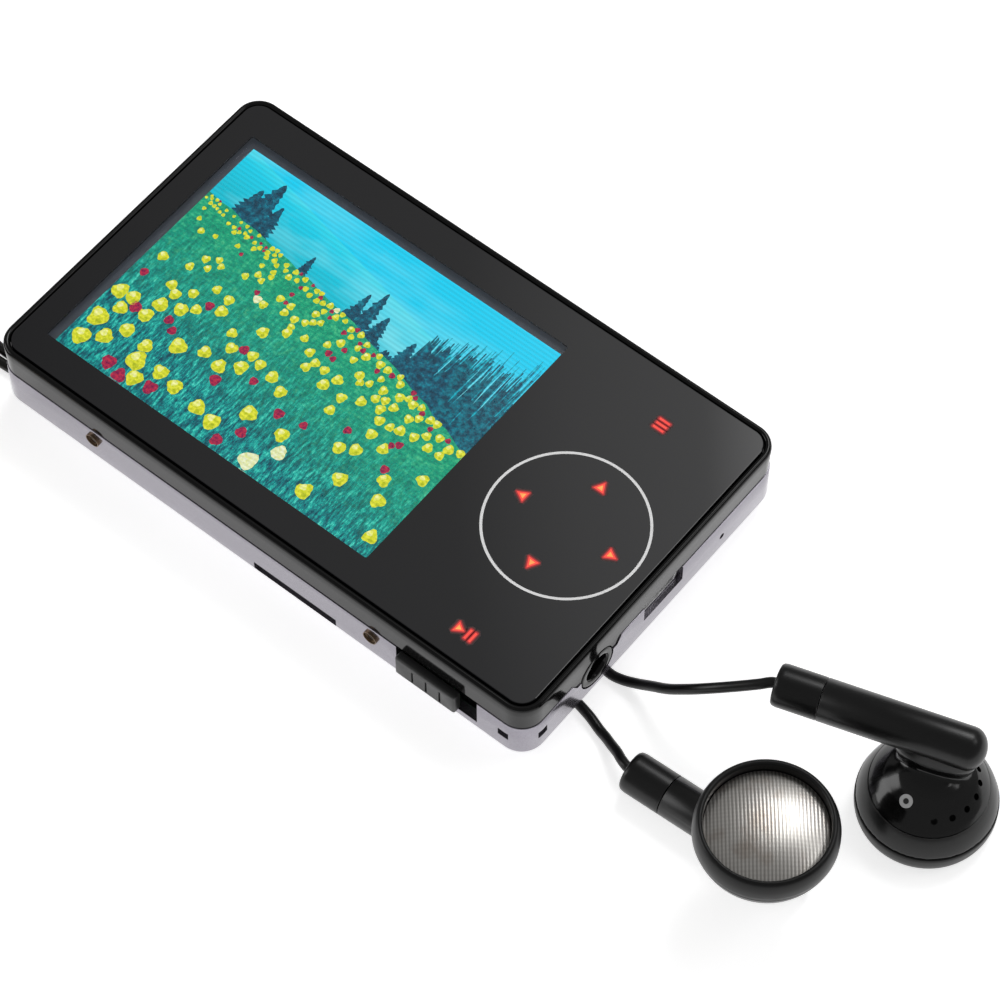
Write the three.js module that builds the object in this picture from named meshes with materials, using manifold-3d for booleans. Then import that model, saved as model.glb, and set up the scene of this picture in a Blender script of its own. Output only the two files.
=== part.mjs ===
// A pocket digital audio player with its earphones, drawn in millimetres with +Z up.
// The player lies on its back, screen up, on the two earphone leads that run beneath it.
// Origin: centre of the player's own bounding box, earphones left out.
// +X runs along the player towards the headphone socket, +Y away from the slide switch.
import * as THREE from "three";
import { mergeVertices } from "three/addons/utils/BufferGeometryUtils.js";
import Module from "manifold-3d";

const wasm = await Module();
wasm.setup();

// ---------------------------------------------------------------- driving dimensions
const LENGTH = 82.4; // player, along X
const WIDTH = 48.6; // player, along Y, without the switch cap
const THICK = 10.6; // player, along Z
const CORNER = 3.2; // plan radius of the case corners
const SWITCH_PROUD = 1.0; // how far the switch cap stands out of the -Y side
const SEAM_Z = 0.9; // height of the joint between bezel and rear shell
const SEAM_GAP = 0.12;
const LIP = 0.85; // width of the bezel rim round the window
const WINDOW_GAP = 0.15;
const WINDOW_THICK = 1.05;
const SHELL_WALL = 1.3;
const SHELL_FLOOR = 0.9;
const SHELL_FILLET = 1.0; // bottom edge of the rear shell

const TOP = THICK / 2;
const BACK = -THICK / 2;
const END = LENGTH / 2;
const SIDE = WIDTH / 2;

// screen and touch controls, measured from the middle of the case
const SCREEN = { x: -11.6, y: -0.45, w: 48.96, h: 36.72 };
const SCREEN_MARGIN = 0.6; // clear border of the window print round the picture
const RING = { x: 28.3, y: -0.75, r: 10.0 };
const ARROW_OFFSET = 6.6; // ring centre to each arrow
const PLAY = { x: 28.2, y: -19.35 };
const MENU = { x: 28.5, y: 17.2 };
const ICON = 2.4; // side of the square hole in the mask behind each touch mark

// things in the side walls
const JACK = { y: -11.05, z: -0.72, hole: 1.85, collar: 2.85 };
const USB = { y0: -2.2, y1: 5.2, z0: -1.85, z1: 1.25 };
const MIC = { y: 12.9, z: -2.05, r: 0.42 };
const CARD = { x0: -0.2, x1: 12.5, z0: -4.78, z1: -3.1 };
const SWITCH_NOTCH = { x0: 21.8, x1: 33.9, z0: -3.4 };
const SWITCH_CAP = { x0: 22.35, x1: 31.3, z0: -3.1, z1: 0.5 };
const LANYARD = { x: 37.75, y: -21.15, z: -1.75, w: 1.5, h: 1.3 };
const SCREW_X = [-25.4, 18.05];
const SCREW_Z = -0.75;

// earphones
const LEAD = 1.3; // branch lead diameter
const MAIN = 1.9; // main lead diameter
const LIFT = 1.45; // the branch leads under the player hold it this far off the table
const TABLE = BACK - LIFT;
const BUD = { seat: 7.2, rimDepth: 3.0, dome: 10.1, stemR: 2.6 };
const STEM = { back: 19.7, tip: 5.4, drop: 13.2, offset: 2.1, cap: 5.6 };

// ---------------------------------------------------------------- materials
function finish(colour, roughness, metalness) {
  return new THREE.MeshStandardMaterial({ color: colour, roughness, metalness });
}
const BLACK_GLOSS = finish(0x141417, 0.15, 0);
const WINDOW = finish(0x2b2b30, 0.08, 0);
const SILVER = finish(0xb2aeb8, 0.35, 0.7);
const STEEL = finish(0xc4c4c8, 0.3, 1);
const BLACK_MATTE = finish(0x1b1b1d, 0.6, 0);
const EARBUD = finish(0x18181a, 0.4, 0);
const GRILLE = finish(0xa9a49c, 0.35, 0.9);
const RUBBER = finish(0x161618, 0.55, 0);
const BOARD = finish(0x1f5a36, 0.5, 0);
const CHIP = finish(0x202022, 0.6, 0);
const FOIL = finish(0xbfc1c4, 0.4, 0.6);
const FOAM = finish(0x2a2a2a, 0.9, 0);
const FILM = finish(0x6e5a2c, 0.5, 0);
const GLASS = finish(0x30434c, 0.1, 0);
const LIGHT = finish(0xe8e8ea, 0.4, 0);
const LED = finish(0xff5a3c, 0.3, 0);
const RED_WIRE = finish(0xb01c1c, 0.5, 0);

// ---------------------------------------------------------------- solids and booleans
function toSolid(geometry) {
  const bare = geometry.index ? geometry.toNonIndexed() : geometry.clone();
  bare.deleteAttribute("normal");
  bare.deleteAttribute("uv");
  const merged = mergeVertices(bare, 1e-4);
  return new wasm.Manifold(
    new wasm.Mesh({
      numProp: 3,
      vertProperties: merged.attributes.position.array,
      triVerts: new Uint32Array(merged.index.array),
    }),
  );
}

function toGeometry(solid) {
  const mesh = solid.getMesh();
  const geometry = new THREE.BufferGeometry();
  geometry.setAttribute("position", new THREE.BufferAttribute(mesh.vertProperties, 3));
  geometry.setIndex(new THREE.BufferAttribute(mesh.triVerts, 1));
  return geometry;
}

function cut(base, ...tools) {
  return toGeometry(tools.reduce((left, tool) => left.subtract(toSolid(tool)), toSolid(base)));
}

function join(base, ...others) {
  return toGeometry(others.reduce((left, other) => left.add(toSolid(other)), toSolid(base)));
}

// ---------------------------------------------------------------- shapes
function box(x0, x1, y0, y1, z0, z1) {
  const geometry = new THREE.BoxGeometry(x1 - x0, y1 - y0, z1 - z0);
  return geometry.translate((x0 + x1) / 2, (y0 + y1) / 2, (z0 + z1) / 2);
}

// The points of a rounded rectangle, counterclockwise.
function roundedOutline(halfX, halfY, radius, steps = 6) {
  const corners = [
    [1, 1, 0],
    [-1, 1, 1],
    [-1, -1, 2],
    [1, -1, 3],
  ];
  return corners.flatMap(([sx, sy, quarter]) =>
    Array.from({ length: steps + 1 }, (_, i) => {
      const angle = (quarter + i / steps) * (Math.PI / 2);
      return [
        sx * (halfX - radius) + radius * Math.cos(angle),
        sy * (halfY - radius) + radius * Math.sin(angle),
      ];
    }),
  );
}

// A closed solid through rounded rectangles, each [z, halfX, halfY, radius], from the lowest up.
function loft(levels) {
  const rings = levels.map(([z, hx, hy, r]) => roundedOutline(hx, hy, r).map(([x, y]) => [x, y, z]));
  const count = rings[0].length;
  const points = rings.flat();
  const bottom = points.push([0, 0, levels[0][0]]) - 1;
  const top = points.push([0, 0, levels[levels.length - 1][0]]) - 1;
  const faces = [];
  for (let i = 0; i < count; i++) {
    const next = (i + 1) % count;
    faces.push(bottom, next, i);
    const last = (rings.length - 1) * count;
    faces.push(top, last + i, last + next);
    for (let ring = 0; ring + 1 < rings.length; ring++) {
      const a = ring * count;
      const b = a + count;
      faces.push(a + i, a + next, b + next, a + i, b + next, b + i);
    }
  }
  const geometry = new THREE.BufferGeometry();
  geometry.setAttribute("position", new THREE.Float32BufferAttribute(points.flat(), 3));
  geometry.setIndex(faces);
  return geometry;
}

function slab(halfX, halfY, radius, z0, z1) {
  return loft([
    [z0, halfX, halfY, radius],
    [z1, halfX, halfY, radius],
  ]);
}

// A solid of revolution about Z from [radius, height] pairs that start and end on the axis.
function turned(profile, segments = 32) {
  const points = profile.map(([r, z]) => new THREE.Vector2(r, z));
  return new THREE.LatheGeometry(points, segments).rotateX(Math.PI / 2);
}

// A turned ring whose profile closes on itself.
function ring(r0, r1, z0, z1, segments = 32) {
  return turned([[r1, z0], [r1, z1], [r0, z1], [r0, z0], [r1, z0]], segments);
}

function rodX(radius, x0, x1, y, z, segments = 20) {
  const geometry = new THREE.CylinderGeometry(radius, radius, x1 - x0, segments);
  return geometry.rotateZ(-Math.PI / 2).translate((x0 + x1) / 2, y, z);
}

function rodY(radius, y0, y1, x, z, segments = 20) {
  const geometry = new THREE.CylinderGeometry(radius, radius, y1 - y0, segments);
  return geometry.translate(x, (y0 + y1) / 2, z);
}

// A prism along X from an outline of [y, z] points.
function prismX(outline, x0, x1) {
  const shape = new THREE.Shape(outline.map(([y, z]) => new THREE.Vector2(y, z)));
  const geometry = new THREE.ExtrudeGeometry(shape, { depth: x1 - x0, bevelEnabled: false });
  const turn = new THREE.Matrix4().set(0, 0, 1, x0, 1, 0, 0, 0, 0, 1, 0, 0, 0, 0, 0, 1);
  return geometry.applyMatrix4(turn);
}

// A round tube along a route of [x, y, z] points.
function tube(route, diameter, steps) {
  const curve = new THREE.CatmullRomCurve3(route.map((p) => new THREE.Vector3(...p)));
  const section = new THREE.Shape().absarc(0, 0, diameter / 2, 0, 2 * Math.PI);
  const settings = { steps, extrudePath: curve, curveSegments: 4, bevelEnabled: false };
  return new THREE.ExtrudeGeometry(section, settings);
}

function part(name, geometry, material) {
  const mesh = new THREE.Mesh(geometry, material);
  mesh.name = name;
  return mesh;
}

// ---------------------------------------------------------------- case
function makeWindow() {
  const halfX = END - LIP - WINDOW_GAP;
  const halfY = SIDE - LIP - WINDOW_GAP;
  const chamfer = 0.15;
  const radius = CORNER - LIP;
  const plate = loft([
    [TOP - WINDOW_THICK, halfX, halfY, radius],
    [TOP - chamfer, halfX, halfY, radius],
    [TOP, halfX - chamfer, halfY - chamfer, radius - chamfer],
  ]);
  return part("front_window", plate, WINDOW);
}

function touchMarks() {
  const arrows = [0, 1, 2, 3].map((quarter) => {
    const angle = (quarter * Math.PI) / 2;
    return {
      x: RING.x + ARROW_OFFSET * Math.cos(angle),
      y: RING.y + ARROW_OFFSET * Math.sin(angle),
    };
  });
  return [...arrows, PLAY, MENU];
}

// Black film behind the window, open over the picture and behind each touch mark.
function makeMask() {
  const top = TOP - WINDOW_THICK - 0.03;
  const film = slab(END - LIP - 0.6, SIDE - LIP - 0.6, CORNER - LIP, top - 0.08, top);
  const hx = SCREEN.w / 2 + SCREEN_MARGIN;
  const hy = SCREEN.h / 2 + SCREEN_MARGIN;
  const opening = box(SCREEN.x - hx, SCREEN.x + hx, SCREEN.y - hy, SCREEN.y + hy, top - 1, top + 1);
  const h = ICON / 2;
  const holes = touchMarks().map((m) => box(m.x - h, m.x + h, m.y - h, m.y + h, top - 1, top + 1));
  return part("mask_film", cut(film, opening, ...holes), BLACK_MATTE);
}

function makeTouchFilm() {
  const top = TOP - WINDOW_THICK - 0.26;
  const film = box(15.8, 37.9, -21.0, 21.0, top - 0.12, top);
  const h = ICON / 2;
  const holes = touchMarks().map((m) => box(m.x - h, m.x + h, m.y - h, m.y + h, top - 1, top + 1));
  return part("touch_film", cut(film, ...holes), FILM);
}

// Outline of the tab that fills the notch round the headphone socket, as [y, z] points.
function jackTab(grow, top) {
  const z = JACK.z + 0.42;
  return [
    [JACK.y - 3.6 - grow, z - grow],
    [JACK.y + 3.6 + grow, z - grow],
    [JACK.y + 5.1 + grow, top],
    [JACK.y - 5.1 - grow, top],
  ];
}

function makeBezel() {
  const low = SEAM_Z + SEAM_GAP / 2;
  const taper = 0.12;
  const round = 0.45;
  const outer = loft([
    [low, END - taper, SIDE - taper, CORNER - taper],
    [TOP - round, END, SIDE, CORNER],
    [TOP - round * 0.3, END - round * 0.3, SIDE - round * 0.3, CORNER - round * 0.3],
    [TOP, END - round, SIDE - round, CORNER - round],
  ]);
  const ledge = TOP - WINDOW_THICK - WINDOW_GAP;
  const recess = slab(END - LIP, SIDE - LIP, CORNER - LIP + 0.15, ledge, TOP + 1);
  const inside = slab(END - 2.6, SIDE - 2.6, 1.6, low - 1, ledge + 1);
  const tab = prismX(jackTab(0, low + 0.6), END - SHELL_WALL, END - taper);
  const jackHole = rodX(JACK.collar + WINDOW_GAP, END - 6, END + 1, JACK.y, JACK.z, 32);
  const usbHole = box(END - 3, END + 1, USB.y0 - 0.2, USB.y1 + 0.2, low - 1, USB.z1);
  const frame = cut(join(outer, tab), recess, inside, jackHole, usbHole);
  return part("bezel_frame", frame, BLACK_GLOSS);
}

function makeShell() {
  const rim = SEAM_Z - SEAM_GAP / 2;
  const fillet = [0, 0.25, 0.5, 0.75, 1].map((t) => {
    const angle = (t * Math.PI) / 2;
    const inset = SHELL_FILLET * (1 - Math.sin(angle));
    const z = BACK + SHELL_FILLET * (1 - Math.cos(angle));
    return [z, END - inset, SIDE - inset, CORNER - inset * 0.8];
  });
  const outer = loft([...fillet, [rim, END, SIDE, CORNER]]);
  const cavity = slab(
    END - SHELL_WALL, SIDE - SHELL_WALL, CORNER - SHELL_WALL, BACK + SHELL_FLOOR, rim + 1,
  );
  const out = 2;
  const jackNotch = prismX(jackTab(0.1, rim + 1), END - SHELL_WALL - 1, END + out);
  const jackHole = rodX(JACK.collar + WINDOW_GAP, END - 4, END + out, JACK.y, JACK.z, 32);
  const usbNotch = box(END - 4, END + out, USB.y0, USB.y1, USB.z0, rim + 1);
  const mic = rodX(MIC.r, END - 4, END + out, MIC.y, MIC.z, 12);
  const switchNotch = box(
    SWITCH_NOTCH.x0, SWITCH_NOTCH.x1, -SIDE - out, -SIDE + SHELL_WALL + 0.5,
    SWITCH_NOTCH.z0, rim + 1,
  );
  const card = box(CARD.x0, CARD.x1, -SIDE - out, -SIDE + SHELL_WALL + 0.5, CARD.z0, CARD.z1);
  const lanyardHoles = [
    box(
      LANYARD.x - LANYARD.w / 2, LANYARD.x + LANYARD.w / 2, -SIDE - out, -SIDE + 3,
      LANYARD.z - LANYARD.h / 2, LANYARD.z + LANYARD.h / 2,
    ),
    box(
      END - 3, END + out, LANYARD.y - LANYARD.w / 2, LANYARD.y + LANYARD.w / 2,
      LANYARD.z - LANYARD.h / 2, LANYARD.z + LANYARD.h / 2,
    ),
  ];
  const screwHoles = SCREW_X.flatMap((x) => [
    rodY(0.62, -SIDE - out, SIDE + out, x, SCREW_Z, 16),
    rodY(1.0, -SIDE - out, -SIDE + 0.55, x, SCREW_Z, 20),
    rodY(1.0, SIDE - 0.55, SIDE + out, x, SCREW_Z, 20),
  ]);
  const shell = cut(
    outer, cavity, jackNotch, jackHole, usbNotch, mic, switchNotch, card,
    ...lanyardHoles, ...screwHoles,
  );
  return part("rear_shell", shell, SILVER);
}

// A small countersunk screw with a cross slot, its head towards -Y.
function makeScrew(name, x, outwards) {
  const head = 0.5;
  const length = 2.6;
  const body = turned([[0, 0], [0.86, 0], [0.86, head * 0.6], [0.5, head], [0.5, length], [0, length]], 16);
  const slots = [box(-0.6, 0.6, -0.12, 0.12, -0.5, 0.22), box(-0.12, 0.12, -0.6, 0.6, -0.5, 0.22)];
  const screw = part(name, cut(body, ...slots), STEEL);
  screw.rotation.x = outwards < 0 ? -Math.PI / 2 : Math.PI / 2;
  screw.position.set(x, outwards * (SIDE - 0.03), SCREW_Z);
  return screw;
}

// Sheet chassis between the display and the battery, with lugs for the case screws.
function makeMidFrame() {
  const z0 = 0.4;
  const z1 = 0.84;
  const plate = slab(END - SHELL_WALL - 0.3, SIDE - SHELL_WALL - 0.3, 1.4, z0, z1);
  const lugs = SCREW_X.flatMap((x) =>
    [-1, 1].map((side) => {
      const wall = side * (SIDE - SHELL_WALL - 0.3);
      const inner = wall - side * 1.4;
      return box(x - 2, x + 2, Math.min(wall, inner), Math.max(wall, inner), -2.0, z0 + 0.2);
    }),
  );
  const taps = SCREW_X.map((x) => rodY(0.7, -SIDE, SIDE, x, SCREW_Z, 12));
  const out = END + 1;
  const jackGap = box(24.5, out, JACK.y - 3.6, JACK.y + 3.6, -3, 2);
  const usbGap = box(31.5, out, USB.y0 - 0.5, USB.y1 + 0.5, -3, 2);
  const flexGap = box(15.0, 18.5, -6.0, 6.0, -3, 2);
  const switchGap = box(20.5, 35.0, -SIDE, -18.2, -3, 2);
  const lightening = box(-33, -3, -15, 15, -3, 2);
  const frame = cut(join(plate, ...lugs), ...taps, jackGap, usbGap, flexGap, switchGap, lightening);
  return part("mid_frame", frame, STEEL);
}

// ---------------------------------------------------------------- display
const PANEL = { x0: -37.9, x1: 14.6, y0: -20.6, y1: 20.3 };

function makeDisplay() {
  const faceZ = 3.78;
  const panel = box(PANEL.x0, PANEL.x1, PANEL.y0, PANEL.y1, 2.45, faceZ);
  const tray = cut(
    box(PANEL.x0 - 0.3, PANEL.x1 + 0.3, PANEL.y0 - 0.3, PANEL.y1 + 0.3, 1.0, 2.9),
    box(PANEL.x0 - 0.1, PANEL.x1 + 0.1, PANEL.y0 - 0.1, PANEL.y1 + 0.1, 2.3, 4),
  );
  const ribbon = join(
    box(PANEL.x1 - 0.02 + 0.5, 17.0, -5, 5, 2.05, 2.2),
    box(16.85, 17.0, -5, 5, -1.9, 2.2),
    box(16.85, 19.5, -5, 5, -1.9, -1.75),
  );
  return [
    part("lcd_panel", panel, GLASS),
    part("lcd_backlight", tray, FOIL),
    part("lcd_flex", ribbon, FILM),
  ];
}

// ---------------------------------------------------------------- touch board, lamps and light guide
function makeTouchBoard() {
  const x0 = 18.6;
  const x1 = 37.9;
  const z = 1.35;
  const board = box(x0, x1, -21.0, 21.0, z, z + 0.5);
  const marks = touchMarks();
  const lamps = marks.map((m, i) => {
    const lamp = box(m.x - 0.8, m.x + 0.8, m.y - 0.4, m.y + 0.4, z + 0.55, z + 1.05);
    return part(`mark_led_${i + 1}`, lamp, LED);
  });
  const shade = box(x0 + 0.3, x1 - 0.3, -20.7, 20.7, z + 0.6, TOP - WINDOW_THICK - 0.45);
  const wells = marks.map((m) => box(m.x - 1.1, m.x + 1.1, m.y - 1.1, m.y + 1.1, z, TOP));
  return [
    part("touch_board", board, BOARD),
    ...lamps,
    part("light_guide", cut(shade, ...wells), LIGHT),
  ];
}

// ---------------------------------------------------------------- electronics
const PCB = { x0: -1.6, x1: 39.4, top: -2.05, thick: 0.8 };

function makeBoard() {
  const low = PCB.top - PCB.thick;
  const board = box(PCB.x0, PCB.x1, -22.5, 22.5, low, PCB.top);
  const jackGap = box(27.2, 41, JACK.y - 3.3, JACK.y + 3.3, low - 1, 0);
  const micGap = box(36.6, 41, MIC.y - 2.1, MIC.y + 2.1, low - 1, 0);
  const cornerGap = box(36.2, 41, -24, -19.2, low - 1, 0);
  const lugGap = box(15.6, 20.4, -24, -21.0, low - 1, 0);
  const lugGapFar = box(15.6, 20.4, 21.0, 24, low - 1, 0);
  return part("main_board", cut(board, jackGap, micGap, cornerGap, lugGap, lugGapFar), BOARD);
}

function makeChips() {
  const z = PCB.top + 0.06;
  return [
    part("processor_chip", box(2, 13, 1.5, 12.5, z, z + 1.2), CHIP),
    part("memory_chip", box(20, 32, 9.0, 21.0, z, z + 1.1), CHIP),
    part("crystal", box(3, 8, -4.2, -2.2, z, z + 1.1), STEEL),
  ];
}

function makeBattery() {
  const z = BACK + SHELL_FLOOR;
  const cell = loft([
    [0.5, 17.6, 20.6, 1.2],
    [1.0, 18.2, 21.2, 1.8],
    [3.5, 18.2, 21.2, 1.8],
    [3.9, 17.6, 20.6, 1.2],
  ]).translate(-20.9, 0, z);
  const pad = box(-36, -6, -16, 16, z + 0.05, z + 0.42);
  const leads = [-2.2, 2.2].map((y, i) => {
    const wire = tube(
      [[-2.4, y, z + 2.9], [-1.2, y, z + 3.0], [0.2, y, z + 3.05], [1.6, y, z + 3.05]], 0.8, 8,
    );
    return part(i ? "battery_lead_red" : "battery_lead_black", wire, i ? RED_WIRE : RUBBER);
  });
  return [part("battery", cell, FOIL), part("battery_pad", pad, FOAM), ...leads];
}

// ---------------------------------------------------------------- connectors
function makeJack() {
  const front = END - 1.8;
  const body = join(
    box(27.6, front, JACK.y - 3.0, JACK.y + 3.0, JACK.z - 2.4, JACK.z + 1.55),
    rodX(2.2, front - 0.5, front + 0.6, JACK.y, JACK.z, 24),
  );
  const bore = rodX(JACK.hole, 28.8, front + 2, JACK.y, JACK.z, 24);
  const collar = cut(
    rodX(JACK.collar, front + 0.75, END - 0.02, JACK.y, JACK.z, 36),
    rodX(JACK.hole, front, END + 1, JACK.y, JACK.z, 36),
  );
  return [
    part("headphone_socket", cut(body, bore), BLACK_MATTE),
    part("socket_collar", collar, BLACK_GLOSS),
  ];
}

function makeUsb() {
  const y0 = USB.y0 + 0.15;
  const y1 = USB.y1 - 0.15;
  const front = END - 0.7;
  const shell = cut(
    box(32.4, front, y0, y1, USB.z0 + 0.1, USB.z1 - 0.1),
    box(33.0, front + 1, y0 + 0.3, y1 - 0.3, USB.z0 + 0.4, USB.z1 - 0.4),
  );
  const middle = (USB.y0 + USB.y1) / 2;
  const tongue = box(33.2, front - 0.8, middle - 2.1, middle + 2.1, -0.7, 0.0);
  return [part("usb_shell", shell, STEEL), part("usb_tongue", tongue, BLACK_MATTE)];
}

function makeCardSocket() {
  const z0 = BACK + SHELL_FLOOR + 0.05;
  const body = box(CARD.x0 - 0.9, CARD.x1 + 0.9, -SIDE + 1.5, -7.5, z0, -2.95);
  const slot = box(CARD.x0 + 0.3, CARD.x1 - 0.3, -SIDE, -9.0, z0 + 0.2, -3.2);
  return part("card_socket", cut(body, slot), STEEL);
}

function makeMicrophone() {
  return part("microphone", rodX(1.7, 37.0, END - SHELL_WALL - 0.15, MIC.y, MIC.z, 20), STEEL);
}

// ---------------------------------------------------------------- slide switch
function makeSwitch() {
  const capIn = -SIDE + 0.15;
  const capOut = -SIDE - SWITCH_PROUD;
  const c = SWITCH_CAP;
  const round = 0.35;
  const outline = new THREE.Shape();
  outline.moveTo(c.x0, c.z0);
  outline.lineTo(c.x1, c.z0);
  outline.lineTo(c.x1, c.z1);
  outline.lineTo(c.x0, c.z1);
  outline.closePath();
  const settings = {
    depth: capIn - capOut - 2 * round,
    bevelThickness: round,
    bevelSize: round,
    bevelOffset: -round,
    bevelSegments: 3,
  };
  // The bevelled outline is drawn flat, then stood up with its depth along Y.
  const block = new THREE.ExtrudeGeometry(outline, settings)
    .rotateX(Math.PI / 2)
    .translate(0, capIn - round, 0);
  const back = box(c.x0 - 1, c.x1 + 1, capIn, capIn + 3, c.z0 - 1, c.z1 + 1);
  const grooves = [25.0, 27.05, 29.1].map((x) =>
    box(x - 0.13, x + 0.13, capOut - 1, capOut + 0.28, -2.6, -0.35),
  );
  const neck = box(26.0, 28.0, capIn - 0.3, capIn + 1.6, -1.9, -0.9);
  const cap = part("switch_cap", join(cut(block, back, ...grooves), neck), BLACK_MATTE);
  const slider = part("switch_slider", box(25.4, 28.6, capIn + 1.8, capIn + 3.2, -1.95 + 0.3, -0.8), LIGHT);
  const base = PCB.top + 0.06;
  const housing = cut(
    box(22.6, 33.6, capIn + 1.75, capIn + 5.2, base, 0.1),
    box(25.15, 31.1, capIn - 1, capIn + 3.45, base + 0.25, -0.6),
  );
  return [cap, slider, part("switch_housing", housing, STEEL)];
}

// ---------------------------------------------------------------- earbuds
// Local frame: face towards +Z with the rim's front at z = 0, stem along X with its cap at -X.
function makeBud(side) {
  const rim = turned(
    [
      [BUD.seat, -BUD.rimDepth], [8.25, -BUD.rimDepth], [8.35, -2.4], [8.25, -1.2], [8.0, -0.4],
      [7.6, 0], [BUD.seat, -0.4], [BUD.seat, -BUD.rimDepth],
    ],
    40,
  );
  const edge = BUD.seat - 0.12;
  const grille = turned(
    [
      [0, -1.1], [2.4, -1.2], [4.8, -1.5], [edge, -1.9],
      [edge, -1.4], [4.8, -0.95], [2.4, -0.6], [0, -0.5],
    ],
    32,
  );
  const shellTop = -BUD.rimDepth - 0.12;
  const dome = turned(
    [
      [0, -BUD.dome], [2.8, -9.6], [4.6, -8.5], [6.0, -7.3], [7.0, -6.1], [7.5, -5.3],
      [7.95, -4.3], [8.2, shellTop], [0, shellTop],
    ],
    40,
  );
  const hollow = turned([[0, -7.6], [4.2, -7.1], [6.0, -5.8], [6.9, -4.4], [6.9, 1], [0, 1]], 24);
  const r = BUD.stemR;
  const tipX = STEM.tip;
  const capX = -STEM.back + STEM.cap;
  const stemProfile = [[0, capX], [r, capX], [r, tipX - r * 0.8]];
  for (let i = 1; i <= 5; i++) {
    const angle = (i * Math.PI) / 10;
    stemProfile.push([r * Math.cos(angle), tipX - r * 0.8 + r * 0.8 * Math.sin(angle)]);
  }
  stemProfile[stemProfile.length - 1][0] = 0;
  const alongX = (geometry) => geometry.rotateY(Math.PI / 2).translate(0, STEM.offset, -STEM.drop);
  const stem = alongX(turned(stemProfile, 24));
  const neck = new THREE.SphereGeometry(1, 24, 12)
    .scale(4.8, 2.5, 3.4)
    .translate(-0.2, STEM.offset * 0.75, -BUD.dome - 0.3);
  const leadDuct = tube(
    [
      [1.2, 0, -6.8], [0.9, 0.8, -9.6], [-1.4, STEM.offset, -STEM.drop + 0.3],
      [-4, STEM.offset, -STEM.drop], [capX - 1, STEM.offset, -STEM.drop],
    ],
    1.6, 14,
  );
  const back = cut(join(dome, neck, stem), hollow, leadDuct);
  const capEnd = -STEM.back;
  const capProfile = [[0, capEnd], [r - 0.5, capEnd], [r - 0.1, capEnd + 0.25], [r, capEnd + 0.8],
    [r, capX - 0.12], [0, capX - 0.12]];
  const bore = turned([[0, capEnd - 1], [LEAD / 2 + 0.1, capEnd - 1], [LEAD / 2 + 0.1, capEnd + 3.2],
    [0, capEnd + 3.2]], 16);
  const cap = cut(alongX(turned(capProfile, 24)), alongX(bore));
  const driver = turned([[0, -5.2], [3.2, -5.2], [3.2, -4.2], [6.5, -4.2], [6.5, -3.4], [0, -3.4]], 24);
  return [
    part(`${side}_bud_rim`, rim, RUBBER),
    part(`${side}_bud_grille`, grille, GRILLE),
    part(`${side}_bud_back`, back, EARBUD),
    part(`${side}_bud_driver`, driver, STEEL),
    part(`${side}_stem_cap`, cap, EARBUD),
  ];
}

// The left bud lies face up on its stem, the right one face down on its rim.
const LEFT = { x: 71.1, y: -18.9, turn: 2.6, faceZ: TABLE + BUD.stemR + STEM.drop };
const RIGHT = { x: 80.05, y: 0.85, turn: 17.6, faceZ: TABLE };

function makeEarbuds() {
  const left = new THREE.Group();
  left.add(...makeBud("left"));
  left.rotation.z = THREE.MathUtils.degToRad(LEFT.turn);
  left.position.set(LEFT.x, LEFT.y, LEFT.faceZ);
  const right = new THREE.Group();
  // Turned over about its stem, so the offset that suits the left ear is mirrored for the right.
  const mirrored = makeBud("right");
  for (const mesh of mirrored) mesh.scale.y = -1;
  right.add(...mirrored);
  right.rotation.set(Math.PI, 0, THREE.MathUtils.degToRad(RIGHT.turn), "ZYX");
  right.position.set(RIGHT.x, RIGHT.y, RIGHT.faceZ);
  return [left, right];
}

// ---------------------------------------------------------------- earphone leads
const LEAD_Z = TABLE + LEAD / 2;
const COIL = { x: -66, y: -33.5, base: TABLE + 0.75 };
const BRANCH_TURN = [15.35, 16.7]; // centre radii of the left and right leads' turns
const BRANCH_ROWS = 2;
const MAIN_TURN = [8.0, 9.9, 11.8, 13.7]; // centre radii of the main lead's turns
const MAIN_ROWS = 3;
const COIL_TOP = COIL.base + MAIN_ROWS * MAIN;
const LEFT_ROUTE = [
  [51.05, -17.65, TABLE + 2.6], [49.9, -17.3, TABLE + 2.45], [48.6, -16.6, TABLE + 2.0],
  [47.2, -15.95, TABLE + 1.35], [46.0, -15.4, TABLE + 0.9], [44.8, -15.0, LEAD_Z],
  [42.4, -14.2, LEAD_Z], [38, -13.4, LEAD_Z], [30, -13.2, LEAD_Z], [18, -14.0, LEAD_Z],
  [6, -15.4, LEAD_Z], [-8, -17.0, LEAD_Z], [-22, -18.6, LEAD_Z], [-34, -20.0, LEAD_Z],
  [-42, -20.8, LEAD_Z], [-47, -20.9, LEAD_Z], [-52, -19.9, LEAD_Z + 0.4],
  [-55.7, -18.7, COIL.base + LEAD / 2],
];
const RIGHT_ROUTE = [
  [60.3, -3.2, TABLE + 13.2], [59.0, -4.1, TABLE + 12.6], [56.95, -5.25, TABLE + 11.4],
  [54.9, -6.25, TABLE + 10.1], [52.95, -6.95, TABLE + 8.6], [51.0, -7.4, TABLE + 6.9],
  [48.9, -7.65, TABLE + 4.95], [46.7, -7.65, TABLE + 3.1], [44.7, -7.8, TABLE + 1.65],
  [42.7, -8.15, TABLE + 0.85], [40.9, -8.3, LEAD_Z], [36, -7.0, LEAD_Z], [29, -2.5, LEAD_Z],
  [21, 4.0, LEAD_Z], [11, 8.0, LEAD_Z], [0, 8.0, LEAD_Z], [-10, 4.0, LEAD_Z],
  [-19, -3.0, LEAD_Z], [-27, -10.5, LEAD_Z], [-35, -16.6, LEAD_Z], [-42, -19.2, LEAD_Z],
  [-47, -19.3, LEAD_Z], [-52, -18.3, LEAD_Z + 0.4], [-58, -17.05, COIL.base + LEAD / 2],
];
const SPLITTER = { x: -86, y0: -32.5, r: 2.4, length: 12 };
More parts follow.
